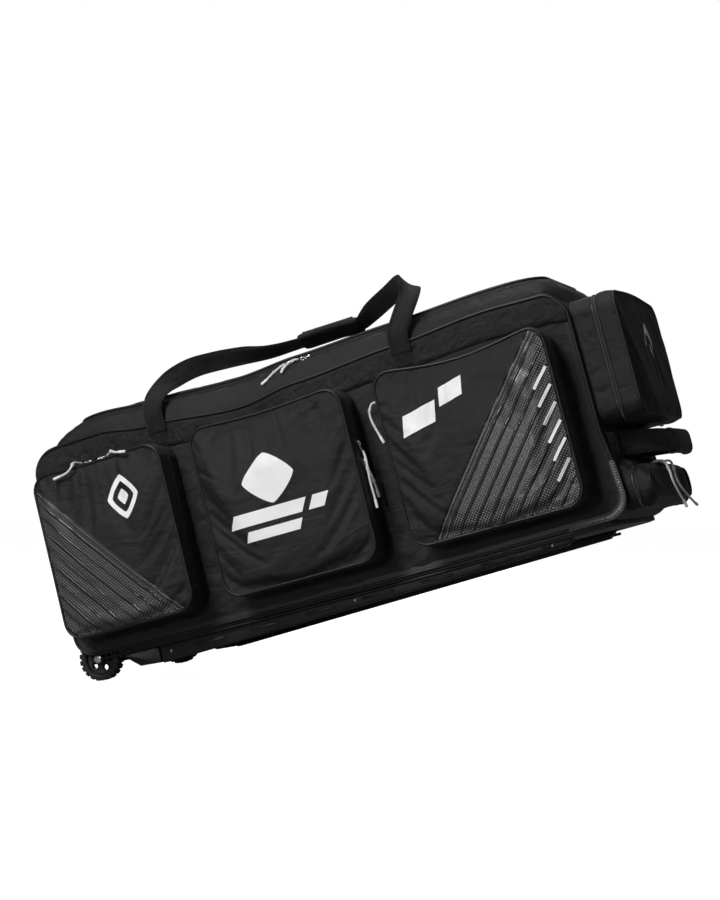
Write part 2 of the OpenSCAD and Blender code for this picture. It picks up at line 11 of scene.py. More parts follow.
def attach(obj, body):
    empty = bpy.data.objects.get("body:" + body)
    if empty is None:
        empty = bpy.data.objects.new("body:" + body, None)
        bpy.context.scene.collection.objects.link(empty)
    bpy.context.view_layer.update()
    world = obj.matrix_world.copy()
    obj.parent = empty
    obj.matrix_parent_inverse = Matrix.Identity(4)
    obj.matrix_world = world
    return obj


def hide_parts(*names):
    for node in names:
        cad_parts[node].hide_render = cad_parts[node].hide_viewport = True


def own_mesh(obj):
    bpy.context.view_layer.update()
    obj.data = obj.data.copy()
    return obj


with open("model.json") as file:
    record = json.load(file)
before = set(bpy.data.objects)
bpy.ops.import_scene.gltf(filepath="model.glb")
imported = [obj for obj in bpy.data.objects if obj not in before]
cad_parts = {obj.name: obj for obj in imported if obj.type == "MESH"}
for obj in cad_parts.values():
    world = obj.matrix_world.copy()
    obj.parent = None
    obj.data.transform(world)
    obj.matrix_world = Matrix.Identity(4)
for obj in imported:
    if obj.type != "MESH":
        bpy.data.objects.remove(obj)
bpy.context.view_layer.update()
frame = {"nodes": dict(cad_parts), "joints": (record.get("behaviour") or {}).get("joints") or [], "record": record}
random.seed(7)
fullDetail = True

# The bag lies with a lean. Everything new is drawn in its own upright frame, in millimetres:
# x from the wheel end to the handle end, y = 0 in the middle, z = 0 at the lower piping.
lidAxis = Vector(next(j for j in frame["joints"] if j["name"] == "lid_opens")["axis"])
lean = math.atan2(lidAxis.z, -lidAxis.x)
upright = Matrix.Rotation(-lean, 4, "Y")


def uprightBox(node):
    corners = [upright @ v.co for v in frame["nodes"][node].data.vertices]
    low = Vector([min(c[i] for c in corners) for i in range(3)])
    high = Vector([max(c[i] for c in corners) for i in range(3)])
    return low, high


panelLow, panelHigh = uprightBox("front_panel")
rearLow, rearHigh = uprightBox("rear_panel")
bagCorner = Vector((panelLow.x, (panelLow.y + rearHigh.y) / 2, panelLow.z))
bagToRest = Matrix.Rotation(lean, 4, "Y") @ Matrix.Translation(bagCorner) @ Matrix.Scale(0.001, 4)
restToBag = bagToRest.inverted()


def bagBox(node):
    # lowest and highest corner of a node in the bag's own frame, in millimetres
    low, high = uprightBox(node)
    return (low - bagCorner) * 1000, (high - bagCorner) * 1000


bagLength = (panelHigh.x - panelLow.x) * 1000
bagHeight = (panelHigh.z - panelLow.z) * 1000
halfWidth = (rearHigh.y - panelLow.y) * 500
print("frame read: bag", round(bagLength), "x", round(2 * halfWidth), "x", round(bagHeight), "mm")

# camera and floor
shot = {
    "lens": 72,
    "azimuth": 20.5,
    "elevation": -0.7,
    "distance": 3.13,
    "target": (0.425, 0, 0.401),   # metres, from the floor under the wheel
    "tilt": 15.07,                 # how far the handle end is lifted
    "pivot": (0.031, 0, -0.005),   # wheel centre in the bag's frame, metres
    "wheelRadius": 0.038,
}
floorToRest = (bagToRest @ Matrix.Scale(1000, 4) @ Matrix.Translation(shot["pivot"])
               @ Matrix.Rotation(math.radians(shot["tilt"]), 4, "Y")
               @ Matrix.Translation((0, 0, -shot["wheelRadius"])))


def makeCamera():
    a, e = math.radians(shot["azimuth"]), math.radians(shot["elevation"])
    back = Vector((math.sin(a) * math.cos(e), -math.cos(a) * math.cos(e), math.sin(e)))
    place = Matrix.Translation(Vector(shot["target"]) + back * shot["distance"])
    turn = (-back).to_track_quat("-Z", "Y").to_matrix().to_4x4()
    data = bpy.data.cameras.new("camera")
    data.lens = shot["lens"]
    data.sensor_width = 36
    camera = bpy.data.objects.new("camera", data)
    bpy.context.scene.collection.objects.link(camera)
    camera.matrix_world = floorToRest @ place @ turn
    bpy.context.scene.camera = camera


makeCamera()

# materials


def newMaterial(name, color, roughness, **settings):
    mat = bpy.data.materials.new(name)
    mat.use_nodes = True
    shader = mat.node_tree.nodes["Principled BSDF"]
    shader.inputs["Base Color"].default_value = (*color, 1)
    shader.inputs["Roughness"].default_value = roughness
    for key, value in settings.items():
        shader.inputs[key].default_value = value
    return mat, mat.node_tree, shader


def addNode(tree, kind, inputs=None, **props):
    node = tree.nodes.new(kind)
    for key, value in props.items():
        setattr(node, key, value)
    for key, value in (inputs or {}).items():
        if isinstance(value, bpy.types.NodeSocket):
            tree.links.new(value, node.inputs[key])
        else:
            node.inputs[key].default_value = value
    return node


def math2(tree, op, a, b):
    return addNode(tree, "ShaderNodeMath", {0: a, 1: b}, operation=op).outputs[0]


def bumpOnto(tree, shader, height, strength, distance, previous=None):
    inputs = {"Height": height, "Strength": strength, "Distance": distance}
    if previous is not None:
        inputs["Normal"] = previous
    bump = addNode(tree, "ShaderNodeBump", inputs)
    tree.links.new(bump.outputs[0], shader.inputs["Normal"])
    return bump.outputs[0]


def mottle(tree, shader, low, high, scale):
    # colour that wanders a little between two tones
    coords = addNode(tree, "ShaderNodeTexCoord").outputs["Object"]
    cloud = addNode(tree, "ShaderNodeTexNoise", {"Vector": coords, "Scale": scale, "Detail": 5.0})
    ramp = addNode(tree, "ShaderNodeValToRGB", {"Fac": cloud.outputs["Fac"]})
    ramp.color_ramp.elements[0].position = 0.35
    ramp.color_ramp.elements[0].color = (*low, 1)
    ramp.color_ramp.elements[1].position = 0.68
    ramp.color_ramp.elements[1].color = (*high, 1)
    tree.links.new(ramp.outputs["Color"], shader.inputs["Base Color"])
    return ramp, coords


def weaveHeight(tree, uv, pitch, slant=0.0):
    # over-and-under threads: two crossed waves, each hidden where the other lies on top
    turned = addNode(tree, "ShaderNodeMapping", {"Vector": uv, "Rotation": (0, 0, slant)}).outputs[0]
    parts = addNode(tree, "ShaderNodeSeparateXYZ", {"Vector": turned})
    k = 2 * math.pi / pitch
    sx = math2(tree, "SINE", math2(tree, "MULTIPLY", parts.outputs[0], k), 0.0)
    sy = math2(tree, "SINE", math2(tree, "MULTIPLY", parts.outputs[1], k), 0.0)
    return math2(tree, "MULTIPLY", sx, sy)


def fabric(name, low, high, roughness, pitch, bump=0.35, slant=0.0, sheen=0.12, crinkle=0.0, speck=0.0):
    mat, tree, shader = newMaterial(name, low, roughness)
    shader.inputs["Sheen Weight"].default_value = sheen * 0.5
    shader.inputs["Sheen Roughness"].default_value = 0.35
    shader.inputs["Specular IOR Level"].default_value = 0.24
    ramp, coords = mottle(tree, shader, low, high, 9.0)
    uv = addNode(tree, "ShaderNodeUVMap").outputs[0]
    grain = addNode(tree, "ShaderNodeTexNoise", {"Vector": coords, "Scale": 420.0, "Detail": 2.0})
    rough = addNode(tree, "ShaderNodeMapRange",
                    {"Value": grain.outputs["Fac"], "To Min": roughness - 0.1, "To Max": roughness + 0.12})
    tree.links.new(rough.outputs[0], shader.inputs["Roughness"])
    normal = bumpOnto(tree, shader, weaveHeight(tree, uv, pitch, slant), bump, pitch * 0.25)
    soft = addNode(tree, "ShaderNodeTexNoise", {"Vector": coords, "Scale": 38.0, "Detail": 6.0, "Roughness": 0.6})
    normal = bumpOnto(tree, shader, soft.outputs["Fac"], 0.4, 0.003, normal)
    folds = addNode(tree, "ShaderNodeMapping", {"Vector": coords, "Rotation": (0.3, 0.5, 0.6),
                                                "Scale": (1.0, 1.0, 2.6)}).outputs[0]
    drawn = addNode(tree, "ShaderNodeTexNoise",
                    {"Vector": folds, "Scale": 13.0, "Detail": 4.0, "Roughness": 0.5, "Distortion": 0.9})
    normal = bumpOnto(tree, shader, drawn.outputs["Fac"], 0.26, 0.012, normal)
    if crinkle:
        veins = addNode(tree, "ShaderNodeTexNoise",
                        {"Vector": coords, "Scale": 95.0, "Detail": 8.0, "Roughness": 0.7, "Distortion": 1.6})
        bumpOnto(tree, shader, veins.outputs["Fac"], crinkle, 0.003, normal)
    return mat


def plastic(name, low, high, roughness, grainScale=900.0, grainBump=0.12, scuff=0.0):
    mat, tree, shader = newMaterial(name, low, roughness)
    shader.inputs["Specular IOR Level"].default_value = 0.32
    ramp, coords = mottle(tree, shader, low, high, 22.0)
    grain = addNode(tree, "ShaderNodeTexNoise", {"Vector": coords, "Scale": grainScale, "Detail": 3.0})
    normal = bumpOnto(tree, shader, grain.outputs["Fac"], grainBump, 0.0006)
    if scuff:
        marks = addNode(tree, "ShaderNodeTexNoise",
                        {"Vector": coords, "Scale": 60.0, "Detail": 9.0, "Roughness": 0.75})
        spread = addNode(tree, "ShaderNodeMapRange",
                         {"Value": marks.outputs["Fac"], "From Min": 0.4, "From Max": 0.7,
                          "To Min": roughness - scuff, "To Max": roughness + scuff})
        tree.links.new(spread.outputs[0], shader.inputs["Roughness"])
    return mat


def metal(name, color, roughness):
    mat, tree, shader = newMaterial(name, color, roughness, Metallic=1.0)
    coords = addNode(tree, "ShaderNodeTexCoord").outputs["Object"]
    brush = addNode(tree, "ShaderNodeTexNoise", {"Vector": coords, "Scale": 700.0, "Detail": 4.0})
    wear = addNode(tree, "ShaderNodeMapRange",
                   {"Value": brush.outputs["Fac"], "To Min": roughness - 0.08, "To Max": roughness + 0.12})
    tree.links.new(wear.outputs[0], shader.inputs["Roughness"])
    bumpOnto(tree, shader, brush.outputs["Fac"], 0.05, 0.0003)
    return mat


finish = {
    "shell": fabric("kit fabric", (0.0068, 0.0068, 0.0073), (0.0112, 0.0112, 0.0119), 0.45, 0.0011,
                    bump=0.4, slant=0.78, sheen=0.1),
    "band": fabric("crinkled ripstop band", (0.009, 0.009, 0.0095), (0.017, 0.017, 0.018), 0.33, 0.0021,
                   bump=0.5, sheen=0.08, crinkle=0.9),
    "webbing": fabric("webbing", (0.008, 0.008, 0.0085), (0.015, 0.015, 0.016), 0.55, 0.0024, bump=0.9,
                      slant=0.0, sheen=0.2),
    "rubber": plastic("embossed rubber", (0.0095, 0.0095, 0.01), (0.014, 0.014, 0.015), 0.3, 1400.0, 0.06),
    "piping": plastic("piping", (0.006, 0.006, 0.0065), (0.009, 0.009, 0.0095), 0.4, 700.0, 0.08),
    "moulding": plastic("moulded plastic", (0.008, 0.008, 0.0085), (0.012, 0.012, 0.0125), 0.46, 1100.0, 0.16, 0.1),
    "tread": plastic("tyre rubber", (0.013, 0.013, 0.013), (0.022, 0.022, 0.021), 0.6, 500.0, 0.25, 0.08),
    "liner": plastic("base board", (0.02, 0.02, 0.02), (0.03, 0.03, 0.03), 0.6, 800.0, 0.2),
    "steel": metal("nickel", (0.72, 0.73, 0.75), 0.24),
    "rivet": metal("blackened rivet", (0.2, 0.2, 0.205), 0.4),
    "nylon": plastic("bush nylon", (0.32, 0.32, 0.3), (0.4, 0.4, 0.38), 0.4),
    # white print for the marks, also used for the painted highlight strips on the right pocket's bars
    "print": plastic("printed white and painted glint", (0.82, 0.82, 0.82), (0.9, 0.9, 0.9), 0.42, 800.0, 0.1),
    "zip": plastic("zip coil", (0.012, 0.012, 0.0125), (0.02, 0.02, 0.021), 0.38, 600.0, 0.1),
    "sleeve": plastic("moulded sleeve", (0.8, 0.8, 0.79), (0.88, 0.88, 0.87), 0.35, 600.0, 0.08),
    "stitch": plastic("sewing thread", (0.03, 0.03, 0.031), (0.045, 0.045, 0.046), 0.5, 1500.0, 0.1),
    "gloss": plastic("glossy rubber bars", (0.022, 0.022, 0.023), (0.03, 0.03, 0.031), 0.14, 900.0, 0.04),
    "corner": plastic("corner strip", (0.07, 0.07, 0.073), (0.11, 0.11, 0.115), 0.26, 900.0, 0.1, 0.08),
}


def embossMaterial():
    # thin rubber film with close rows of small dots; the colour follows the dots' height, so their raised tops are
    # lighter than the film: partly their own paler tone, partly a painted highlight for the light the glossy rubber
    # catches
    mat, tree, shader = newMaterial("dotted rubber film", (0.03, 0.03, 0.031), 0.3)
    uv = addNode(tree, "ShaderNodeUVMap").outputs[0]
    turned = addNode(tree, "ShaderNodeMapping", {"Vector": uv, "Rotation": (0, 0, 0.785)}).outputs[0]
    parts = addNode(tree, "ShaderNodeSeparateXYZ", {"Vector": turned})
    k = 2 * math.pi / 0.0056
    sx = math2(tree, "SINE", math2(tree, "MULTIPLY", parts.outputs[0], k), 0.0)
    sy = math2(tree, "SINE", math2(tree, "MULTIPLY", parts.outputs[1], k), 0.0)
    dots = math2(tree, "MULTIPLY", sx, sy)
    height = math2(tree, "MAXIMUM", dots, 0.0)
    bumpOnto(tree, shader, height, 0.8, 0.0009)
    # painted highlight: the raised dot tops are coloured lighter, partly their own paler tone
    ramp = addNode(tree, "ShaderNodeValToRGB", {"Fac": height})
    ramp.color_ramp.elements[0].color = (0.016, 0.016, 0.0165, 1)
    ramp.color_ramp.elements[1].color = (0.21, 0.21, 0.215, 1)
    tree.links.new(ramp.outputs["Color"], shader.inputs["Base Color"])
    return mat


finish["emboss"] = embossMaterial()


def cordMaterial():
    # braided white cord: slanted strands round and along it, coloured darker in the grooves between the strands
    # than on their crowns: painted shade
    mat, tree, shader = newMaterial("braided cord", (0.8, 0.8, 0.78), 0.7)
    uv = addNode(tree, "ShaderNodeUVMap").outputs[0]
    height = weaveHeight(tree, uv, 0.0021, 0.9)
    bumpOnto(tree, shader, height, 0.6, 0.0005)
    # painted shade: the colour follows the strands' height, darker down in the grooves
    grooveShade = addNode(tree, "ShaderNodeMapRange",
                   {"Value": height, "From Min": -1.0, "From Max": 1.0, "To Min": 0.0, "To Max": 1.0})
    ramp = addNode(tree, "ShaderNodeValToRGB", {"Fac": grooveShade.outputs[0]})
    ramp.color_ramp.elements[0].color = (0.62, 0.62, 0.6, 1)
    ramp.color_ramp.elements[1].color = (0.9, 0.9, 0.88, 1)
    tree.links.new(ramp.outputs["Color"], shader.inputs["Base Color"])
    shader.inputs["Sheen Weight"].default_value = 0.2
    return mat


finish["cord"] = cordMaterial()
print("materials made:", len(finish))

# mesh helpers


def gridMesh(columns, rows, pointAt, sizeU, sizeV):
    # a sheet of columns x rows faces, each corner put where pointAt(u, v) says, 0 <= u, v <= 1
    bm = bmesh.new()
    bm.loops.layers.uv.new("UVMap")
    bmesh.ops.create_grid(bm, x_segments=columns, y_segments=rows, size=0.5, calc_uvs=True)
    uvLayer = bm.loops.layers.uv.active
    for face in bm.faces:
        for loop in face.loops:
            u, v = loop.vert.co.x + 0.5, loop.vert.co.y + 0.5
            loop[uvLayer].uv = (u * sizeU / 1000, v * sizeV / 1000)
    for vert in bm.verts:
        vert.co = pointAt(vert.co.x + 0.5, vert.co.y + 0.5)
    return bm


def mergeInto(target, source):
    # adds one mesh to another
    scratch = bpy.data.meshes.new("scratch")
    source.to_mesh(scratch)
    source.free()
    target.from_mesh(scratch)
    bpy.data.meshes.remove(scratch)


def makePiece(name, bm, material, body, replaces=(), slot=None, thickness=0.0, subdivide=0, inward=True,
              flip=False, weld=0.01):
    bmesh.ops.remove_doubles(bm, verts=bm.verts, dist=weld)
    if flip:
        bmesh.ops.reverse_faces(bm, faces=bm.faces)
    bm.transform(bagToRest)
    mesh = bpy.data.meshes.new(name)
    bm.to_mesh(mesh)
    bm.free()
    for polygon in mesh.polygons:
        polygon.use_smooth = True
    piece = bpy.data.objects.new(name, mesh)
    bpy.context.scene.collection.objects.link(piece)
    mesh.materials.append(finish[material])
    if thickness:
        wall = piece.modifiers.new("wall", "SOLIDIFY")
        wall.thickness = thickness / 1000
        wall.offset = -1 if inward else 1
        wall.use_even_offset = False
    if subdivide:
        smooth = piece.modifiers.new("smooth", "SUBSURF")
        smooth.levels = smooth.render_levels = subdivide
    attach(piece, body)
    if replaces:
        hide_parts(*replaces)
    return piece


def smoothStep(low, high, value):
    t = min(1.0, max(0.0, (value - low) / (high - low)))
    return t * t * (3 - 2 * t)


def curveThrough(points, x):
    # a smooth height curve through (x, height) points
    if x <= points[0][0]:
        return points[0][1]
    for (x0, z0), (x1, z1) in zip(points, points[1:]):
        if x <= x1:
            return z0 + (z1 - z0) * smoothStep(x0, x1, x)
    return points[-1][1]


def roundCorner(x, z, width, height, radius):
    # pulls a point of a plain rectangle in, so that the corners come out round
    cx = min(max(x, radius), width - radius)
    cz = min(max(z, radius), height - radius)
    u, v = (x - cx) / radius, (z - cz) / radius
    return cx + radius * u * math.sqrt(1 - v * v / 2), cz + radius * v * math.sqrt(1 - u * u / 2)


def outline(s, width, height, radius):
    # a point and outward direction at share s of the way round a rounded rectangle, from mid-bottom
    runs = [width / 2 - radius, None, height - 2 * radius, None, width - 2 * radius, None,
            height - 2 * radius, None, width / 2 - radius]
    arc = math.pi * radius / 2
    corners = [(width - radius, radius, -90), (width - radius, height - radius, 0),
               (radius, height - radius, 90), (radius, radius, 180)]
    starts = [(width / 2, 0, 1, 0), (width, radius, 0, 1), (width - radius, height, -1, 0),
              (0, height - radius, 0, -1), (radius, 0, 1, 0)]
    left = (s % 1.0) * (sum(r for r in runs if r is not None) + 4 * arc)
    for i in range(9):
        length = arc if i % 2 else runs[i]
        if left <= length or i == 8:
            if i % 2:
                cx, cz, begin = corners[i // 2]
                angle = math.radians(begin + 90 * left / arc)
                dx, dz = math.cos(angle), math.sin(angle)
                return cx + radius * dx, cz + radius * dz, dx, dz
            x, z, dx, dz = starts[i // 2]
            return x + dx * left, z + dz * left, dz, -dx
        left -= length


def perimeter(width, height, radius):
    return 2 * (width + height) - 8 * radius + 2 * math.pi * radius


def creases(a, b, pitch, stretch, depth, seed):
    # long folds: fine across b, drawn out along a
    n = noise.noise(Vector((a / (pitch * stretch), b / pitch, seed)))
    return depth * (0.7 * n + 0.6 * (1 - min(1, abs(n) * 3.4)) ** 2)


def smoothRoute(points, steps=4):
    # points on a smooth line through the given ones
    pts = [Vector(p) for p in points]
    out = []
    for i in range(len(pts) - 1):
        before = pts[i - 1] if i else pts[i] * 2 - pts[i + 1]
        after = pts[i + 2] if i + 2 < len(pts) else pts[i + 1] * 2 - pts[i]
        for k in range(steps):
            t = k / steps
            out.append(0.5 * ((2 * pts[i]) + (pts[i + 1] - before) * t
                       + (2 * before - 5 * pts[i] + 4 * pts[i + 1] - after) * t * t
                       + (3 * pts[i] - before - 3 * pts[i + 1] + after) * t ** 3))
    out.append(pts[-1])
    return out


def routeLength(points):
    return sum((b - a).length for a, b in zip(points, points[1:]))


def tubeMesh(points, radiusAt, sides=10, closed=False, flatten=1.0):
    # a round cord along the points; radiusAt(share) gives its radius
    pts = [Vector(p) for p in points]
    count = len(pts)
    total = routeLength(pts)
    travelled = [0.0]
    for a, b in zip(pts, pts[1:]):
        travelled.append(travelled[-1] + (b - a).length)
    frames = []
    side = None
    for i in range(count):
        if closed:
            ahead = (pts[(i + 1) % (count - 1)] - pts[(i - 1) % (count - 1)]).normalized()
        else:
            ahead = (pts[min(i + 1, count - 1)] - pts[max(i - 1, 0)]).normalized()
        if side is None:
            side = ahead.cross(Vector((0.1, 1, 0.23))).normalized()
        side = (side - ahead * side.dot(ahead)).normalized()
        frames.append((side.copy(), ahead.cross(side)))

    def pointAt(u, v):
        i = round(u * (count - 1))
        radius = radiusAt(travelled[i] / total)
        angle = 2 * math.pi * v
        a, b = frames[i]
        return pts[i] + (a * math.cos(angle) + b * math.sin(angle) * flatten) * radius

    bm = gridMesh(count - 1, sides, pointAt, total, 2 * math.pi * radiusAt(0.5))
    bmesh.ops.remove_doubles(bm, verts=bm.verts, dist=0.001)
    if not closed:
        ends = [e for e in bm.edges if e.is_boundary]
        bmesh.ops.holes_fill(bm, edges=ends, sides=0)
    return bm


# zip pull cords
# The same points as the model's cords, in millimetres in the bag's frame
pullCords = {
    "main_cord_a": [(502, -160, 392), (494, -163, 389), (486, -165, 385), (478, -167, 381),
                    (470, -168, 376), (462, -169, 371.5), (455, -170, 368.5)],
    "main_cord_b": [(527.5, -160.5, 392), (520, -165.5, 392.5), (512, -167.5, 390.5),
                    (505, -169, 387), (499, -170, 382), (495, -170.5, 377)],
    "left_cord_a": [(114, -209, 324.3), (112.5, -216, 325), (113, -225, 325.5), (115, -235, 325),
                    (115.5, -243, 323.5), (114, -248, 318), (108, -249, 312.5),
                    (100, -248.5, 309.5), (92, -248.5, 308), (83, -248, 307), (75, -248, 306)],
    "left_cord_b": [(163.5, -208.5, 324.3), (170, -214, 325), (178, -223, 325.5),
                    (186, -234, 325.5), (193, -243, 324), (200, -248, 320), (210, -248.5, 318),
                    (220, -248.5, 316)],
    "middle_cord_a": [(614.5, -208, 209.5), (617, -212, 204), (619, -216, 195), (619.5, -219, 184),
                      (619, -220, 170), (618, -219, 156), (618, -218, 142), (618, -217, 128),
                      (618, -217, 113)],
    "middle_cord_b": [(614.5, -208, 180.5), (617, -206, 173), (618, -204, 165), (618, -201, 156),
                      (618, -198, 147), (618, -196, 138), (618, -195, 131)],
    "right_cord": [(662.5, -208.5, 276.5), (657, -210.5, 278.5), (651, -213, 278),
                   (646.5, -215, 271), (644, -216, 261), (645, -216, 249), (648, -216, 237),
                   (652, -216, 224), (656, -216, 211)],
    "low_cord_a": [(1027, -43.5, 76.5), (1036, -47, 77.5), (1046, -52, 77.5), (1053.5, -57, 74),
                   (1057.5, -62, 66), (1060, -66, 54), (1061, -68, 41), (1063, -64, 27),
                   (1065, -57, 14), (1067, -50, 3), (1068, -46, -6)],
    "low_cord_b": [(1027, 15.5, 76.5), (1036, 14, 77.5), (1046, 6, 77.5), (1054, -6, 74.5),
                   (1058.5, -20, 67), (1061.5, -36, 56), (1064, -48, 44), (1066, -43, 30),
                   (1068, -24, 18), (1069, 1, 8), (1069, 25, 1), (1069, 46, -4)],
}
cordLook = {"diameter": 4.0, "tipLength": 13.0, "tipRadius": 2.6, "knotShare": 0.42, "knotRadius": 3.4}


def bodyOf(node):
    return next(b for b, members in frame["record"]["behaviour"]["bodies"].items() if node in members)


def makeCords():
    # each cord is threaded through its puller, tied in a knot and ends in a moulded sleeve
    radius = cordLook["diameter"] / 2
    for name, route in pullCords.items():
        points = smoothRoute(route, 3)
        length = routeLength(points)
        bm = tubeMesh(points, lambda share: radius, 12)
        body = bodyOf(name)
        piece = makePiece("pull_" + name, bm, "cord", body, [name], "pull_cord", subdivide=1)
        tail, left = [points[-1]], cordLook["tipLength"]
        for point in reversed(points[:-1]):
            left -= (point - tail[-1]).length
            tail.append(point)
            if left <= 0:
                break
        grown = lambda share: cordLook["tipRadius"] * (0.84 + 0.16 * min(1, 9 * share, 9 * (1 - share)))
        sleeve = makePiece("sleeve_" + name, tubeMesh(smoothRoute(tail, 4), grown, 14), "sleeve", body,
                           slot="pull_cord", subdivide=1)
        # knot: a turn and a half of cord wound round itself
        at = round(len(points) * cordLook["knotShare"])
        ahead = (points[at + 1] - points[at - 1]).normalized()
        side = ahead.cross(Vector((0.2, 0.5, 1))).normalized()
        other = ahead.cross(side)
        turns = []
        for i in range(37):
            angle = 2 * math.pi * 1.5 * i / 36
            turns.append(points[at] + ahead * (i / 36 - 0.5) * 5 + (side * math.cos(angle)
                         + other * math.sin(angle)) * cordLook["knotRadius"] * 0.62)
        knot = makePiece("knot_" + name, tubeMesh(turns, lambda share: 1.25, 10), "cord", body,
                         slot="pull_cord", subdivide=1)
        path = [bagToRest @ p for p in points]
        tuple(path[0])
    print("cords made:", len(pullCords))


makeCords()

# light and floor
studio = {
    "floorSize": (12.0, 14.0),
    "floorCentre": (0.5, 1.5),
    "floorGlow": 0.975,      # what the camera sees of the floor before any light falls on it
    "surround": 0.06,
    "lamps": [   # name, place, size, power; metres from the floor under the wheel
        ("key", (-0.5, -2.6, 2.3), 1.2, 80),
        ("top", (0.3, 0.1, 2.7), 1.6, 19),
        ("side", (2.6, -1.6, 1.5), 0.7, 4),
        ("front", (-0.9, -3.4, 0.9), 1.2, 5),
        ("back", (-0.9, 3.4, 0.9), 2.6, 60),
        ("glint", (0.25, -3.1, 0.62), 0.3, 12),
    ],
}


def makeStudio():
    # to the camera the floor is almost white, with a faint shadow; to the bag it is a dull grey
    floorMat, tree, shader = newMaterial("studio floor", (0.16, 0.16, 0.16), 0.8)
    cameraRay = addNode(tree, "ShaderNodeLightPath").outputs["Is Camera Ray"]
    glow = math2(tree, "MULTIPLY", cameraRay, studio["floorGlow"])
    tree.links.new(glow, shader.inputs["Emission Strength"])
    shader.inputs["Emission Color"].default_value = (1, 1, 1, 1)
    bm = bmesh.new()
    bmesh.ops.create_grid(bm, x_segments=1, y_segments=1, size=0.5)
    sx, sy = studio["floorSize"]
    bmesh.ops.scale(bm, vec=(sx, sy, 1), verts=bm.verts)
    cx, cy = studio["floorCentre"]
    bmesh.ops.translate(bm, vec=(cx, cy, 0), verts=bm.verts)
    bm.transform(floorToRest)
    mesh = bpy.data.meshes.new("floor")
    bm.to_mesh(mesh)
    bm.free()
    floor = bpy.data.objects.new("floor", mesh)
    bpy.context.scene.collection.objects.link(floor)
    mesh.materials.append(floorMat)
    aim = Vector((0.45, 0, 0.35))
    for name, place, size, power in studio["lamps"]:
        data = bpy.data.lights.new(name, "AREA")
        data.shape = "DISK"
        data.size = size
        data.energy = power
        lamp = bpy.data.objects.new(name, data)
        bpy.context.scene.collection.objects.link(lamp)
        here = Vector(place)
        turn = (aim - here).to_track_quat("-Z", "Y").to_matrix().to_4x4()
        lamp.matrix_world = floorToRest @ Matrix.Translation(here) @ turn
        lamp.visible_camera = False
    world = bpy.data.worlds.new("studio")
    bpy.context.scene.world = world
    world.use_nodes = True
    tree = world.node_tree
    backdrop = tree.nodes["Background"]
    backdrop.inputs["Color"].default_value = (1, 1, 1, 1)
    dim = addNode(tree, "ShaderNodeBackground", {"Color": (1, 1, 1, 1), "Strength": studio["surround"]})
    seen = addNode(tree, "ShaderNodeLightPath").outputs["Is Camera Ray"]
    both = addNode(tree, "ShaderNodeMixShader", {0: seen, 1: dim.outputs[0], 2: backdrop.outputs[0]})
    tree.links.new(both.outputs[0], tree.nodes["World Output"].inputs["Surface"])
    bpy.context.scene.view_settings.view_transform = "Standard"


makeStudio()
print("studio made")



# the sagging shell
shell = {
    "cornerRadius": 40,
    # height of the upper piping along the bag, and how far the end seam wanders
    "topLine": [(0, 366), (60, 373), (140, 374), (233, 361), (411, 345), (516, 357), (694, 367),
                (862, 377), (960, 374), (1000, 366)],
    "endLine": [(0, 7), (75, 1), (150, -7), (365, -8)],
    "belly": 5,          # sag of the lower edge
    "bulge": 5,
    "pipingRadius": 3,
    "lidShare": 0.5,     # how much of the upper line's wander reaches the lid
}


def sagged(x, y, z):
    lift = curveThrough(shell["topLine"], x) - bagHeight
    high = smoothStep(200, bagHeight, z)
    if z > bagHeight:
        high = 1 + (shell["lidShare"] - 1) * smoothStep(bagHeight, bagHeight + 30, z)
    drop = -shell["belly"] * math.sin(math.pi * min(1, max(0, x / bagLength))) * (1 - smoothStep(0, 90, z))
    side = curveThrough(shell["endLine"], z) * smoothStep(860, bagLength, x)
    return Vector((x + side, y, z + lift * high + drop))


def puckered(x, z, seed):
    # broad dents with a few sharper folds, as padded cloth shows between its seams
    folds = creases(x + 0.6 * z, z - 0.5 * x, 34, 3.2, 1.0, seed)
    fine = creases(x - 0.9 * z, z + 0.7 * x, 13, 4.0, 0.45, seed + 5)
    return folds + fine


def makeLongPanel(name, side, node):
    # side -1 is the front, +1 the rear
    r = shell["cornerRadius"]

    def pointAt(u, v):
        x, z = roundCorner(u * bagLength, v * bagHeight, bagLength, bagHeight, r)
        inner = math.sqrt(max(0, math.sin(math.pi * u) * math.sin(math.pi * v)))
        depth = halfWidth - 3 + shell["bulge"] * inner
        depth += puckered(x, z, 3.1 + side) * 1.6 * min(1, inner * 2.5)
        low = smoothStep(110, 10, z) * smoothStep(4, 22, z)
        depth += creases(x * 0.9 + z * 1.4, z * 1.2 - x * 0.5, 20, 2.4, 3.2, 9.0 + side) * low
        ends = smoothStep(150, 20, x) + smoothStep(bagLength - 110, bagLength - 15, x)
        depth += creases(z + 0.5 * x, x - 0.4 * z, 24, 3.0, 2.6, 13.0 + side) * ends * min(1, inner * 3)
        return sagged(x, side * depth, z)

    bm = gridMesh(190, 70, pointAt, bagLength, bagHeight)
    return makePiece(name, bm, "shell", "bag", [node], "shell_fabric", thickness=2, subdivide=1,
                     flip=side > 0)


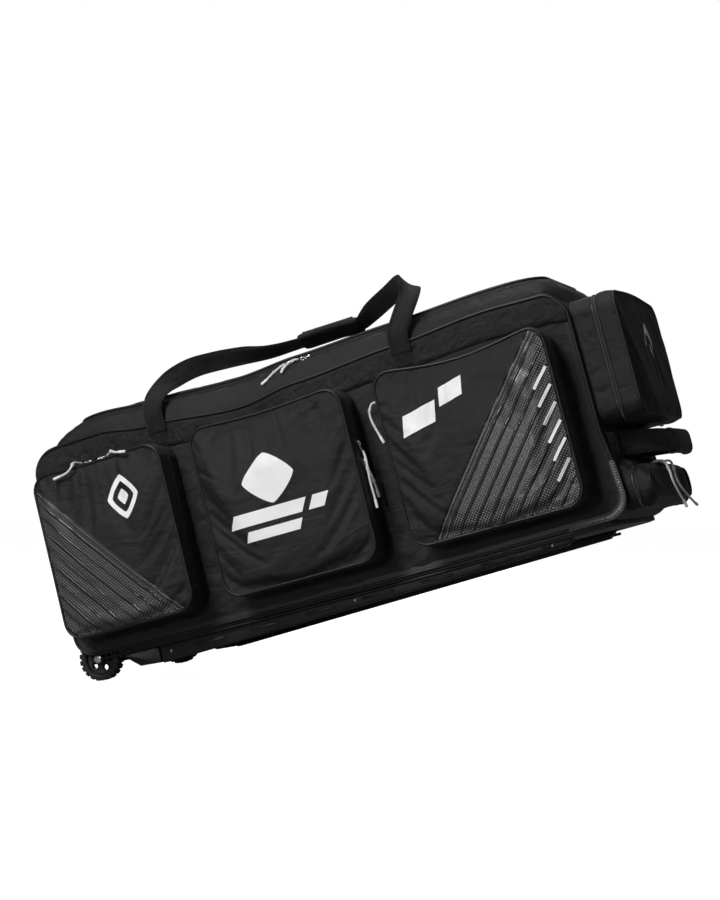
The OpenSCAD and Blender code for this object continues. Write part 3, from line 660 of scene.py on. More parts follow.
def makeEndPanel(name, node, handleEnd):
    # the strip from one piping to the other, over both rounded corners
    r = shell["cornerRadius"]
    arc = math.pi * r / 2
    flat = bagHeight - 2 * r
    reach = 26
    total = flat + 2 * arc + 2 * reach

    def pointAt(u, v):
        left = v * total
        if left < reach:
            x, z = bagLength - r - (reach - left), 0
            nx, nz = 0, -1
        elif left < reach + arc:
            angle = -math.pi / 2 + (left - reach) / r
            x, z = bagLength - r + r * math.cos(angle), r + r * math.sin(angle)
            nx, nz = math.cos(angle), math.sin(angle)
        elif left < reach + arc + flat:
            x, z, nx, nz = bagLength, r + left - reach - arc, 1, 0
        elif left < reach + 2 * arc + flat:
            angle = (left - reach - arc - flat) / r
            x, z = bagLength - r + r * math.cos(angle), bagHeight - r + r * math.sin(angle)
            nx, nz = math.cos(angle), math.sin(angle)
        else:
            x, z = bagLength - r - (left - reach - 2 * arc - flat), bagHeight
            nx, nz = 0, 1
        y = (u - 0.5) * 2 * (halfWidth - 2)
        middle = math.sin(math.pi * u)
        out = 4 * math.sqrt(max(0, middle)) + puckered(y, z, 17.0 + handleEnd) * 1.7 * min(1, middle * 3)
        out -= 2.5
        x, z = x + nx * out, z + nz * out * 0.6
        if not handleEnd:
            return sagged(bagLength - x, y, z)
        return sagged(x, y, z)

    bm = gridMesh(70, 100, pointAt, 2 * halfWidth, total)
    if not handleEnd:   # the wheel housings stand in the two lower corners
        house = bagBox("wheel_chassis")[1]
        inside = [f for f in bm.faces if f.calc_center_median().z < house.z - 2
                  and abs(f.calc_center_median().y) > 130 and f.calc_center_median().x < 86]
        bmesh.ops.delete(bm, geom=inside, context="FACES")
    return makePiece(name, bm, "shell", "bag", [node], "shell_fabric", thickness=2, subdivide=1,
                     flip=not handleEnd)


def sweptRing(width, height, radius, rows, profile, place, columns=300, depth=30):
    # a strip swept round a rounded rectangle; profile(v, s) gives (outward, along) in millimetres
    def pointAt(u, v):
        x, z, dx, dz = outline(u, width, height, radius)
        out, along = profile(v, u)
        return place(x + dx * out, along, z + dz * out)
    return gridMesh(columns, rows, pointAt, perimeter(width, height, radius), depth)


def pipingLoop(width, height, radius, inset, place, thick, columns=260):
    # the route of a piping cord round a rounded rectangle
    points = []
    for i in range(columns + 1):
        x, z, dx, dz = outline(i / columns, width, height, radius)
        points.append(place(x - dx * inset, z - dz * inset))
    return tubeMesh(points, lambda share: thick, 8, closed=True)


def makeEdges():
    thick = shell["pipingRadius"]
    bm = bmesh.new()
    for side in (-1, 1):
        y = side * (halfWidth + 1)
        mergeInto(bm, pipingLoop(bagLength, bagHeight, shell["cornerRadius"], 3,
                                 lambda x, z: sagged(x, y, z), thick, 420))
        # the flange that the piping is sewn into
        flange = sweptRing(bagLength - 12, bagHeight - 12, shell["cornerRadius"] - 6, 3,
                           lambda v, s: (-9 * v + 2, side * (halfWidth + 0.4 - 1.5 * v)),
                           lambda x, along, z: sagged(x + 6, along, z + 6), 420, 9)
        mergeInto(bm, flange)
    makePiece("edge_piping_cord", bm, "piping", "bag", ["edge_piping"], "moulded_plastic", subdivide=1)
    # second piping where the base is sewn on
    low = bmesh.new()
    for side in (-1, 1):
        run = [sagged(40 + i * (bagLength - 80) / 90, side * (halfWidth - 1.5), -6.2) for i in range(91)]
        mergeInto(low, tubeMesh(run, lambda share: 2.3, 8))
    makePiece("base_piping_cord", low, "piping", "bag", slot="moulded_plastic", subdivide=1)


band = {"height": 43, "stand": 2.6, "seams": (2.5, 40)}


def makeBands():
    for side, label in ((-1, "front"), (1, "rear")):
        def pointAt(u, v):
            x, z = u * (bagLength - 12) + 6, bagHeight - 5 - (1 - v) * band["height"]
            x, z = roundCorner(x, z, bagLength, bagHeight, shell["cornerRadius"])
            cover = smoothStep(0, 0.12, v) * smoothStep(1, 0.9, v)
            ripple = creases(z * 1.3 + x * 0.35, x, 11, 2.6, 2.4, 21 + side)
            ripple += creases(x + z, z - 0.6 * x, 8, 3, 1.5, 25 + side)
            depth = halfWidth + 0.8 + (band["stand"] + ripple) * cover
            return sagged(x, side * depth, z)
        bm = gridMesh(330, 16, pointAt, bagLength, band["height"])
        makePiece(label + "_top_band", bm, "band", "bag", ["top_bands"] if side < 0 else (), "webbing",
                  thickness=1.2, subdivide=1, flip=side > 0)


collar = {"footInset": (38, 14), "lidInset": (78, 38), "lidWidth": 300, "radius": 58, "height": 35}


def collarPoint(u, v, out=0.0):
    # v = 0 at the shell's upper edge, 1 at the lid
    start = collar["footInset"][0] + (collar["lidInset"][0] - collar["footInset"][0]) * v
    stop = collar["footInset"][1] + (collar["lidInset"][1] - collar["footInset"][1]) * v
    wide = 2 * halfWidth - 4 + (collar["lidWidth"] + 4 - 2 * halfWidth) * v
    radius = 30 + (collar["radius"] - 30) * v
    length = bagLength - start - stop
    x, y, dx, dy = outline(u, length, wide, radius)
    puff = math.sin(math.pi * v) * 3
    x += start
    edge = max(0, x - (bagLength - shell["cornerRadius"]), shell["cornerRadius"] - x)
    round = shell["cornerRadius"]
    dip = round - math.sqrt(max(0, round ** 2 - min(edge, round) ** 2))
    z = bagHeight - 4 - dip * (1 - v) ** 2 + (collar["height"] + 4) * v ** 0.8
    out += puff
    return x + dx * out, y - wide / 2 + dy * out, z + out * 0.5


def makeCollar():
    def pointAt(u, v):
        x, y, z = collarPoint(u, v)
        fade = math.sin(math.pi * v)
        ripple = creases(z * 2, x + y, 17, 2.5, 1.6, 31) * fade
        return sagged(x, y - ripple if y < 0 else y + ripple, z + ripple * 0.5)
    bm = gridMesh(520, 14, pointAt, perimeter(bagLength - 90, 2 * halfWidth, 40), 42)
    makePiece("lid_collar", bm, "shell", "bag", ["top_collar"], "shell_fabric", thickness=2, subdivide=1,
              flip=True)
    lines = bmesh.new()
    for level, thick in ((0.3, 1.3), (0.55, 1.3)):
        run = [sagged(*collarPoint(i / 500, level, 0.6)) for i in range(501)]
        mergeInto(lines, tubeMesh(run, lambda share: thick, 6, closed=True))
    makePiece("collar_seams", lines, "piping", "bag", slot="moulded_plastic")
    makeZipRing("main_zip", lambda u, v: sagged(*collarPoint(u, 0.66 + 0.2 * v, 1.0 + zipRise(v))),
                perimeter(bagLength - 110, 310, 50), 560)


def zipRise(v):
    # tape, then the coil, then tape again
    return 1.3 * math.exp(-((v - 0.5) / 0.13) ** 2)


def zipMaterial():
    # close cross ribs on the coil, plain tape beside it
    mat, tree, shader = newMaterial("zip coil and tape", (0.012, 0.012, 0.0125), 0.4)
    uv = addNode(tree, "ShaderNodeUVMap").outputs[0]
    parts = addNode(tree, "ShaderNodeSeparateXYZ", {"Vector": uv})
    ribs = math2(tree, "SINE", math2(tree, "MULTIPLY", parts.outputs[0], 2 * math.pi / 0.0016), 0.0)
    centre = math2(tree, "ABSOLUTE", math2(tree, "SUBTRACT", parts.outputs[1], 0.0035), 0.0)
    coil = math2(tree, "LESS_THAN", centre, 0.0013)
    height = math2(tree, "MULTIPLY", ribs, coil)
    bumpOnto(tree, shader, height, 0.9, 0.0006)
    return mat


finish["zip"] = zipMaterial()


def makeZipRing(name, pointAt, length, columns, replaces=(), body="bag", turn=None):
    bm = gridMesh(columns, 8, pointAt, length, 7)
    if turn:
        bm.transform(turn)
    makePiece(name, bm, "zip", body, replaces, "zip_tape", thickness=0.8, subdivide=1, flip=True)


lid = {"crown": 14, "rim": 4, "seamInset": 16, "radius": 60}


def lidHeight(x, y, low, high):
    # a soft crown that drops to the rim
    cx = (x - low.x) / (high.x - low.x)
    cy = (y - low.y) / (high.y - low.y)
    near = min(1, 4.2 * min(cx, 1 - cx) * 1.9) * min(1, 4.2 * min(cy, 1 - cy))
    crown = lid["crown"] * smoothStep(0, 1, max(0, near))
    return crown


def makeLid():
    low, high = bagBox("lid_panel")
    length, width = high.x - low.x, high.y - low.y

    def pointAt(u, v):
        x, y = roundCorner(u * length, v * width, length, width, lid["radius"])
        x, y = x + low.x, y + low.y
        crown = lidHeight(x, y, low, high)
        fade = min(1, crown / 5)
        dents = puckered(x, y, 41) * 1.8 * fade
        return sagged(x, y, low.z + 2.2 + crown + dents)

    bm = gridMesh(180, 62, pointAt, length, width)
    makePiece("lid_cloth", bm, "shell", "lid", ["lid_panel"], "shell_fabric", thickness=2, subdivide=1)
    rim = sweptRing(length, width, lid["radius"], 6,
                    lambda v, s: (-1.5 + 2.4 * math.sin(math.pi * v), low.z + 0.5 + v * 5.5),
                    lambda x, along, y: sagged(x + low.x, y + low.y, along), 460, 8)
    makePiece("lid_rim", rim, "piping", "lid", slot="moulded_plastic", subdivide=1, flip=False)
    seams = bmesh.new()
    for inset in (lid["seamInset"], lid["seamInset"] + 9):
        run = []
        for i in range(421):
            x, y, dx, dy = outline(i / 420, length, width, lid["radius"])
            x, y = x - dx * inset + low.x, y - dy * inset + low.y
            run.append(sagged(x, y, low.z + 2.6 + lidHeight(x, y, low, high)))
        mergeInto(seams, tubeMesh(run, lambda share: 1.1, 6, closed=True))
    makePiece("lid_seams", seams, "piping", "lid", slot="moulded_plastic")


# front pockets
pocketLook = {
    "radius": 30,
    "crown": 7,
    "pull": 0.02,          # spare cloth in the simulated face
    "pressure": 2.2,
    "pipingRadius": 2.6,
    "cell": 4.6,
    "dips": {"left": 4, "middle": 6, "right": 15, "end": -6, "low": -3},
    "radii": {"left": 30, "middle": 30, "right": 30, "end": 26, "low": 28},
    "caps": {"left": 11, "middle": 11, "right": 11, "end": 9, "low": 9},
    "sink": {"left": 3, "middle": 3, "right": 3, "end": 10, "low": 4},   # how deep the gusset starts
    "nose": {"left": 0, "middle": 0, "right": 0, "end": 5, "low": 22},   # how far the face narrows
    "rise": {"left": 0, "middle": 0, "right": 0, "end": 0, "low": 20},   # upper edge lifts at the shell
}
endTurn = Matrix(((0, -1, 0, 0), (1, 0, 0, 0), (0, 0, 1, 0), (0, 0, 0, 1)))
faceTrees = {}


def pocketBox(label, part):
    # the pocket's box as seen facing it, so that the end pockets are drawn like the front ones
    low, high = bagBox(label + "_pocket_" + part)
    if label in ("end", "low"):
        return Vector((low.y, -high.x, low.z)), Vector((high.y, -low.x, high.z))
    return low, high


def pocketDip(label, x, z, low, high):
    # the upper edge hangs in the middle
    u = (x - low.x) / (high.x - low.x)
    v = max(0, (z - low.z) / (high.z - low.z))
    return -pocketLook["dips"][label] * math.sin(math.pi * min(1, max(0, u))) ** 1.5 * v ** 3


def billow(bm, pressure, spare, cap, frames=18, gravity=0.25):
    # pins the border and lets the cloth swell and sag; the mesh is in millimetres, facing -y
    mesh = bpy.data.meshes.new("billow")
    bm.to_mesh(mesh)
    mesh.transform(Matrix.Scale(0.001, 4))
    sheet = bpy.data.objects.new("billow", mesh)
    bpy.context.scene.collection.objects.link(sheet)
    held = sheet.vertex_groups.new(name="held")
    held.add([v.index for v in bm.verts if v.is_boundary], 1.0, "REPLACE")
    cloth = sheet.modifiers.new("cloth", "CLOTH")
    settings = cloth.settings
    settings.vertex_group_mass = "held"
    settings.quality = 6
    settings.mass = 0.25
    settings.tension_stiffness = settings.compression_stiffness = 22
    settings.shear_stiffness = 8
    settings.bending_stiffness = 0.35
    settings.shrink_min = -spare
    settings.use_pressure = True
    settings.uniform_pressure_force = pressure
    settings.effector_weights.gravity = gravity
    cloth.collision_settings.use_collision = False
    cloth.point_cache.frame_start = 1
    cloth.point_cache.frame_end = frames
    scene = bpy.context.scene
    for step in range(1, frames + 1):
        scene.frame_set(step)
    settled = sheet.evaluated_get(bpy.context.evaluated_depsgraph_get()).to_mesh()
    bm.verts.ensure_lookup_table()
    for vert, moved in zip(bm.verts, settled.vertices):
        shift = moved.co * 1000 - vert.co
        if shift.length > cap:
            shift *= cap / shift.length
        vert.co += shift
    sheet.evaluated_get(bpy.context.evaluated_depsgraph_get()).to_mesh_clear()
    bpy.data.objects.remove(sheet)
    scene.frame_set(1)


def makePocket(label):
    low, high = pocketBox(label, "cover")
    gussetLow, gussetHigh = pocketBox(label, "gusset")
    width, height = high.x - low.x, high.z - low.z
    r = pocketLook["radii"][label]
    front = low.y + 5
    body = label + "_cover"
    turn = endTurn if label in ("end", "low") else Matrix.Identity(4)

    def pocketPiece(name, bm, *args, **settings):
        bm.transform(turn)
        return makePiece(label + name, bm, *args, **settings)

    def place(x, y, z):
        x, z = x + low.x, z + low.z
        high01 = max(0, (z - low.z) / height)
        lift = pocketLook["rise"][label] * high01 ** 2 * smoothStep(gussetLow.y, gussetHigh.y, y)
        nose = pocketLook["nose"][label] * smoothStep(gussetLow.y, low.y, y) ** 1.5
        lift += nose * (0.55 - high01)
        return Vector((x, y, z + pocketDip(label, x, z, low, high) + lift))

    # face: swollen and pulled between its seams
    def facePoint(u, v):
        x, z = roundCorner(u * width, v * height, width, height, r)
        inner = min(1, 5 * min(u, 1 - u, v, 1 - v))
        corner = max(0, 1 - math.hypot(width - x, height - z) / 150) + max(0, 1 - math.hypot(x, height - z) / 120)
        around = math.atan2(height - z + 8, width - x + 8)
        rays = noise.noise(Vector((around * 7.5, 0.4, ord(label[0])))) * corner * 3.0
        return place(x, front - 3.2 * smoothStep(0, 1, inner) + rays * inner, z)

    face = gridMesh(round(width / pocketLook["cell"]), round(height / pocketLook["cell"]), facePoint,
                    width, height)
    if fullDetail:
        billow(face, pocketLook["pressure"], pocketLook["pull"], pocketLook["caps"][label])
    for vert in face.verts:
        inner = 1 - smoothStep(0.86, 1.0, max(abs(vert.co.x - (low.x + high.x) / 2) / (width / 2),
                                               abs(vert.co.z - (low.z + high.z) / 2) / (height / 2)))
        broad = noise.noise(Vector((vert.co.x / 95, vert.co.z / 80, ord(label[0]) * 1.7)))
        calm = 0.4 if label in ("end", "low") else 1.0
        vert.co.y += (puckered(vert.co.x, vert.co.z, ord(label[1])) * 0.85 + broad * 3.2) * inner * calm
        # folds that fan out from the upper corner at the handle end
        cornerX, cornerZ = high.x - 6, high.z - 6
        away = math.hypot(vert.co.x - cornerX, vert.co.z - cornerZ)
        fan = math.atan2(cornerZ - vert.co.z, cornerX - vert.co.x)
        ray = abs(noise.noise(Vector((fan * 5.2, away / 260, ord(label[0])))))
        vert.co.y += 4.2 * calm * (0.35 - ray) * inner * smoothStep(170, 25, away) * smoothStep(4, 34, away)
        vert.co.y = max(vert.co.y, low.y - 7)
    faceTrees[label] = BVHTree.FromBMesh(face)
    piece = pocketPiece("_pocket_face", face, "shell", body, [label + "_pocket_cover"], "shell_fabric",
                      thickness=1.6, subdivide=1)
    # side of the cover
    back = high.y

    def sideProfile(v, s):
        ripple = creases(s * 1800, v * 60, 16, 1.6, 0.9, ord(label[2])) * math.sin(math.pi * v)
        return 0.6 + 1.4 * math.sin(math.pi * v) + ripple, front + 1 + (back - front - 1) * v
    bm = sweptRing(width, height, r, 8, sideProfile, place, 300, back - front)
    pocketPiece("_pocket_side", bm, "shell", body, slot="shell_fabric", thickness=1.4, subdivide=1)
    # piping on the front edge and beside the zip
    bm = bmesh.new()
    mergeInto(bm, pipingLoop(width, height, r, 0.2, lambda x, z: place(x, front, z),
                             pocketLook["pipingRadius"]))
    mergeInto(bm, pipingLoop(width, height, r, -1.6, lambda x, z: place(x, front + 13, z), 1.3))
    mergeInto(bm, pipingLoop(width, height, r, -1.0, lambda x, z: place(x, back - 2.5, z), 1.5))
    pocketPiece("_pocket_piping", bm, "piping", body, slot="moulded_plastic", subdivide=1)
    # gusset between the shell and the zip, slacker than the cover
    wide, tall = gussetHigh.x - gussetLow.x, gussetHigh.z - gussetLow.z
    start, stop = gussetHigh.y + pocketLook["sink"][label], gussetLow.y + 8

    def gussetProfile(v, s):
        slack = math.sin(math.pi * v)
        ripple = creases(s * 1500, v * 80, 19, 1.3, 2.2, 50 + ord(label[0])) * slack
        return ripple - 1.2 * slack, start + (stop - start) * v
    bm = sweptRing(wide, tall, r, 10, gussetProfile, place, 300, start - stop)
    pocketPiece("_pocket_gusset_cloth", bm, "shell", "bag", [label + "_pocket_gusset"],
              "shell_fabric", thickness=1.4, subdivide=1, flip=True)
    # zip: tape and coil round the gusset's front edge
    def zipPoint(u, v):
        x, z, dx, dz = outline(u, wide, tall, r)
        out = 0.4 + zipRise(v)
        return place(x + dx * out, gussetLow.y + 8 - 7.5 * v, z + dz * out)
    makeZipRing(label + "_pocket_zip", zipPoint, perimeter(wide, tall, r), 340,
                ["zip_tracks"] if label == "left" else (), turn=turn)


def faceY(label, x, z):
    # where the pocket's face lies at a point, found from in front
    hit = faceTrees[label].ray_cast(Vector((x, -400, z)), Vector((0, 1, 0)))[0]
    return hit.y if hit else pocketBox(label, "cover")[0].y


def fromNode(name):
    # a merged copy of a CAD node's mesh, in the bag's frame
    bm = bmesh.new()
    bm.from_mesh(frame["nodes"][name].data)
    bm.transform(restToBag)
    bmesh.ops.remove_doubles(bm, verts=bm.verts, dist=0.01)
    bmesh.ops.dissolve_limit(bm, angle_limit=math.radians(1.5), verts=bm.verts, edges=bm.edges)
    return bm


def softened(name, piece, material, slot, width, body=None, segments=2, extra=None):
    # the node with its sharp edges rounded over, as a moulding has
    bm = fromNode(name)
    sharp = [e for e in bm.edges if len(e.link_faces) == 2 and e.calc_face_angle() > math.radians(28)]
    bmesh.ops.bevel(bm, geom=sharp, offset=width, offset_type="OFFSET", segments=segments, profile=0.5,
                    affect="EDGES", material=-1, clamp_overlap=True)
    if extra:
        extra(bm)
    return makePiece(piece, bm, material, body or bodyOf(name), [name], slot, weld=0.001)


def block(bm, centre, size, turn=None, round=0.6):
    # adds a small block with rounded edges
    made = bmesh.ops.create_cube(bm, size=1.0)["verts"]
    bmesh.ops.scale(bm, vec=size, verts=made)
    edges = list({e for v in made for e in v.link_edges})
    if round:
        result = bmesh.ops.bevel(bm, geom=edges, offset=round, offset_type="OFFSET", segments=1,
                                 profile=0.5, affect="EDGES", material=-1, clamp_overlap=True)
        made = list({v for f in result["faces"] for v in f.verts} | {v for v in made if v.is_valid})
    matrix = Matrix.Translation(centre) @ (turn or Matrix.Identity(4))
    bmesh.ops.transform(bm, matrix=matrix, verts=made)


# stitches are short thread humps laid along a run
thread = {"length": 2.6, "pitch": 4.0, "thick": 0.55}


def stitchAlong(bm, points, lift=Vector((0, 0, 0))):
    run = [Vector(p) for p in points]
    step = 0.0
    for a, b in zip(run, run[1:]):
        ahead = (b - a)
        length = ahead.length
        if length < 1e-6:
            continue
        ahead = ahead.normalized()
        while step < length:
            middle = a + ahead * step + lift
            block(bm, middle, (thread["length"], thread["thick"] * 2, thread["thick"] * 2),
                  ahead.to_track_quat("X", "Z").to_matrix().to_4x4(), 0.3)
            step += thread["pitch"]
        step -= length


# ---- webbing handles

def ribbonMesh(path, width, thick, steps=6, ripple=0.0, seed=1.0):
    # a woven strap along (point, direction of its width) pairs, with soft edges
    points = smoothRoute([p for p, _ in path], steps)
    wides = smoothRoute([d for _, d in path], steps)
    count = len(points)
    frames = []
    for i in range(count):
        ahead = (points[min(i + 1, count - 1)] - points[max(i - 1, 0)]).normalized()
        across = (wides[i] - ahead * wides[i].dot(ahead)).normalized()
        frames.append((across, ahead.cross(across)))
    total = routeLength(points)

    def pointAt(u, v):
        i = round(u * (count - 1))
        across, up = frames[i]
        angle = 2 * math.pi * v
        c, s = math.cos(angle), math.sin(angle)
        flatC = math.copysign(abs(c) ** 0.35, c)
        flatS = math.copysign(abs(s) ** 0.55, s)
        wave = ripple * noise.noise(Vector((u * total / 26, flatC * 0.9, seed)))
        return points[i] + across * flatC * width / 2 + up * (flatS * thick / 2 + wave)

    bm = gridMesh(count - 1, 28, pointAt, total, 2 * (width + thick))
    bmesh.ops.remove_doubles(bm, verts=bm.verts, dist=0.001)
    bmesh.ops.holes_fill(bm, edges=[e for e in bm.edges if e.is_boundary], sides=0)
    bmesh.ops.recalc_face_normals(bm, faces=bm.faces)
    return bm


handleLook = {"width": 36, "thick": 2.6, "gripWidth": 47, "gripThick": 17, "endWidth": 38}


def strapShape():
    # the carry handle's line: up from the band, over towards the lid, along it to the grip and back
    low, high = bagBox("front_handle_strap")
    grip = bagBox("front_handle_grip")
    foot = bagBox("handle_anchors")[0]
    y = low.y + 1.5
    gy = (grip[0].y + grip[1].y) / 2
    gz = (grip[0].z + grip[1].z) / 2
    z = bagHeight - 7
    a, b = low.x + 18, bagBox("rear_handle_strap")[1].x - 18
    dipA = sagged(a, 0, z).z - z
    dipB = sagged(b, 0, z).z - z
    legA = [((a, y, z - 12 + dipA), (1, 0, 0)), ((a, y, z + 4 + dipA), (1, 0, 0)),
            ((a, y - 1, z + 20 + dipA), (1, 0, 0)), ((a + 6, y + 3, z + 40), (1, 0, -0.1)),
            ((a + 22, y + 14, z + 58), (1, 0.1, -0.4)), ((a + 46, y + 28, z + 71), (0.6, 0.3, -0.85)),
            ((a + 76, y + 40, z + 79), (0.2, 0.4, -0.95)), ((a + 112, y + 52, z + 80), (0, 0.5, -0.9)),
            ((a + 160, y + 64, z + 77), (0, 0.65, -0.8)), ((a + 208, y + 74, z + 71), (0, 0.85, -0.5)),
            ((grip[0].x, gy, gz - 5), (0, 0.94, -0.34)), ((grip[0].x + 30, gy, gz - 5), (0, 0.94, -0.34))]
    legB = [((grip[1].x - 30, gy, gz - 5), (0, 0.94, -0.34)), ((grip[1].x, gy, gz - 5), (0, 0.9, -0.4)),
            ((b - 50, y + 70, z + 85), (0, 0.65, -0.75)), ((b - 8, y + 54, z + 99), (0.1, 0.6, -0.8)),
            ((b + 20, y + 38, z + 106), (0.5, 0.35, -0.9)), ((b + 34, y + 24, z + 97), (0.85, 0.2, -0.75)),
            ((b + 32, y + 12, z + 78), (1, 0, -0.35)), ((b + 16, y + 3, z + 50), (1, 0, -0.1)),
            ((b + 2, y - 1, z + 22 + dipB), (1, 0, 0)), ((b, y, z + 4 + dipB), (1, 0, 0)),
            ((b, y, z - 12 + dipB), (1, 0, 0))]
    pack = lambda leg: [(Vector(p), Vector(d)) for p, d in leg]
    return pack(legA), pack(legB), grip


def paddedGrip(start, end, centreAt, wide, thick, name, body, replaced, crease, material="shell"):
    # a stuffed tube with a closing seam and soft dimples
    rows = 44

    def pointAt(u, v):
        centre, across, up = centreAt(u)
        angle = 2 * math.pi * v
        c, s = math.cos(angle), math.sin(angle)
        ends = min(1, 9 * u, 9 * (1 - u))
        swell = 0.86 + 0.14 * math.sqrt(max(0, ends))
        flatC = math.copysign(abs(c) ** 0.7, c)
        flatS = math.copysign(abs(s) ** 0.8, s)
        dimple = 0.8 * noise.noise(Vector((u * 6, c * 1.4, s * 1.4 + crease)))
        return (centre + across * flatC * wide / 2 * swell
                + up * flatS * (thick / 2 * swell + dimple * ends))

    bm = gridMesh(rows, 32, pointAt, (end - start), 2 * (wide + thick))
    bmesh.ops.remove_doubles(bm, verts=bm.verts, dist=0.001)
    rims = [e for e in bm.edges if e.is_boundary]
    caps = bmesh.ops.holes_fill(bm, edges=rims, sides=0)["faces"]
    inner = bmesh.ops.inset_region(bm, faces=caps, thickness=2.0, depth=-1.2)
    bmesh.ops.recalc_face_normals(bm, faces=bm.faces)
    piece = makePiece(name, bm, material, body, replaced, "shell_fabric", subdivide=1)
    return piece


def makeFrontHandle():
    legA, legB, grip = strapShape()
    bm = bmesh.new()
    mergeInto(bm, ribbonMesh(legA, handleLook["width"], handleLook["thick"], 7, 1.1, 2.0))
    mergeInto(bm, ribbonMesh(legB, handleLook["width"], handleLook["thick"], 7, 1.1, 5.0))
    strap = makePiece("front_handle_webbing", bm, "webbing", "front_handle", ["front_handle_strap"],
                      "webbing", weld=0.001)
    gy, gz = (grip[0].y + grip[1].y) / 2, (grip[0].z + grip[1].z) / 2

    def centreAt(u):
        x = grip[0].x + (grip[1].x - grip[0].x) * u
        centre = Vector((x, gy, gz - 5 + 1.5 * math.sin(math.pi * u)))
        return centre, Vector((0, 0.94, -0.34)), Vector((0, 0.34, 0.94))
    wrap = paddedGrip(grip[0].x, grip[1].x, centreAt, handleLook["gripWidth"], handleLook["gripThick"],
                      "front_handle_wrap", "front_handle", ["front_handle_grip"], 3.0)
    # the wrap's closing flap and its stitching
    trim = bmesh.new()
    across, up = Vector((0, 0.94, -0.34)), Vector((0, 0.34, 0.94))
    middle = Vector((0, gy, gz - 4)) - across * 12 + up * (handleLook["gripThick"] / 2 + 0.2)
    for shift in (-2.4, 2.4):
        run = [middle + across * shift + Vector((grip[0].x + 8 + i * (grip[1].x - grip[0].x - 16) / 24, 0, 0))
               for i in range(25)]
        mergeInto(trim, tubeMesh(run, lambda share: 0.9, 6))
    stitchAlong(trim, [middle + Vector((grip[0].x + 8, 0, 0)), middle + Vector((grip[1].x - 8, 0, 0))])
    seam = makePiece("front_handle_wrap_seam", trim, "piping", "front_handle", slot="webbing")
    across = (bagToRest.to_3x3() @ Vector((0, 1, 0))).normalized()
    for piece in (strap, wrap, seam):
        tuple(across)
        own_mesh(piece)


def makeRearHandle():
    # hangs against the rear panel: down, across and up again
    low, high = bagBox("rear_handle_strap")
    y = (low.y + high.y) / 2
    half = handleLook["width"] / 2
    top = bagHeight - 7
    path = []
    corner = 42
    for t in range(6):
        path.append((low.x + half, top + 4 - t * (top - low.z - half - corner) / 5))
    for k in range(1, 6):
        angle = math.pi + math.pi / 2 * k / 6
        path.append((low.x + half + corner + corner * math.cos(angle),
                     low.z + half + corner + corner * math.sin(angle)))
    for t in range(9):
        path.append((low.x + half + corner + t * (high.x - low.x - 2 * half - 2 * corner) / 8,
                     low.z + half + 2.0 * math.sin(math.pi * t / 8)))
    for k in range(1, 6):
        angle = -math.pi / 2 + math.pi / 2 * k / 6
        path.append((high.x - half - corner + corner * math.cos(angle),
                     low.z + half + corner + corner * math.sin(angle)))
    for t in range(6):
        path.append((high.x - half, low.z + half + corner + t * (top + 4 - low.z - half - corner) / 5))
    pairs = []
    for i, (x, z) in enumerate(path):
        before, after = path[max(0, i - 1)], path[min(len(path) - 1, i + 1)]
        dx, dz = after[0] - before[0], after[1] - before[1]
        size = math.hypot(dx, dz)
        place = sagged(x, y + 1.5, z)
        pairs.append((place, Vector((dz / size, 0, -dx / size))))
    bm = ribbonMesh(pairs, handleLook["width"], handleLook["thick"], 5, 0.6, 9.0)
    makePiece("rear_handle_webbing", bm, "webbing", "rear_handle", ["rear_handle_strap"], "webbing",
              weld=0.001)


def makeEndHandle():
    low, high = bagBox("end_handle_strap")
    grip = bagBox("end_handle_grip")
    reach = high.x - 1.5
    z0, z1 = bagHeight - 248, (grip[0].z + grip[1].z) / 2
    up = Vector((0, 0, 1))
    side = high.y
    half = [((bagLength + 4.5, side - 1, z0), up), ((bagLength + 12, side - 10, z0 - 2), up),
            ((bagLength + (reach - bagLength) * 0.55, side - 25, z0 - 6), up),
            ((bagLength + (reach - bagLength) * 0.85, side - 43, z1 + 4), up), ((reach, 40, z1), up)]
    path = [(Vector((p[0], -p[1], p[2])), d) for p, d in half]
    path += [(Vector(p), d) for p, d in reversed(half)]
    bm = ribbonMesh(path, handleLook["endWidth"], 2.8, 7, 0.8, 12.0)
    makePiece("end_handle_webbing", bm, "webbing", "end_handle", ["end_handle_strap"], "webbing",
              weld=0.001)
    middle = (grip[0].x + grip[1].x) / 2

    def centreAt(u):
        y = grip[0].y + (grip[1].y - grip[0].y) * u
        bow = 2.5 * math.sin(math.pi * u)
        return Vector((middle - 1.5 + bow, y, z1)), Vector((0, 0, 1)), Vector((1, 0, 0))
    paddedGrip(grip[0].y, grip[1].y, centreAt, grip[1].z - grip[0].z + 1, grip[1].x - grip[0].x - 1,
               "end_handle_pad", "end_handle", ["end_handle_grip"], 8.0)
    # folded binding where the pad meets the strap
    trim = bmesh.new()
    for s in (-1, 1):
        y = grip[0].y if s < 0 else grip[1].y
        loop = []
        for i in range(25):
            angle = 2 * math.pi * i / 24
            c, d = math.cos(angle), math.sin(angle)
            loop.append((middle - 1.5 + math.copysign(abs(d) ** 0.8, d) * 11,
                         y, z1 + math.copysign(abs(c) ** 0.6, c) * (grip[1].z - grip[0].z) / 2))
        for shift in (0, -6):
            mergeInto(trim, tubeMesh([(x, yy + s * shift, z) for x, yy, z in loop],
                                     lambda share: 1.5, 6, closed=True))
    makePiece("end_handle_binding", trim, "piping", "end_handle", slot="webbing")


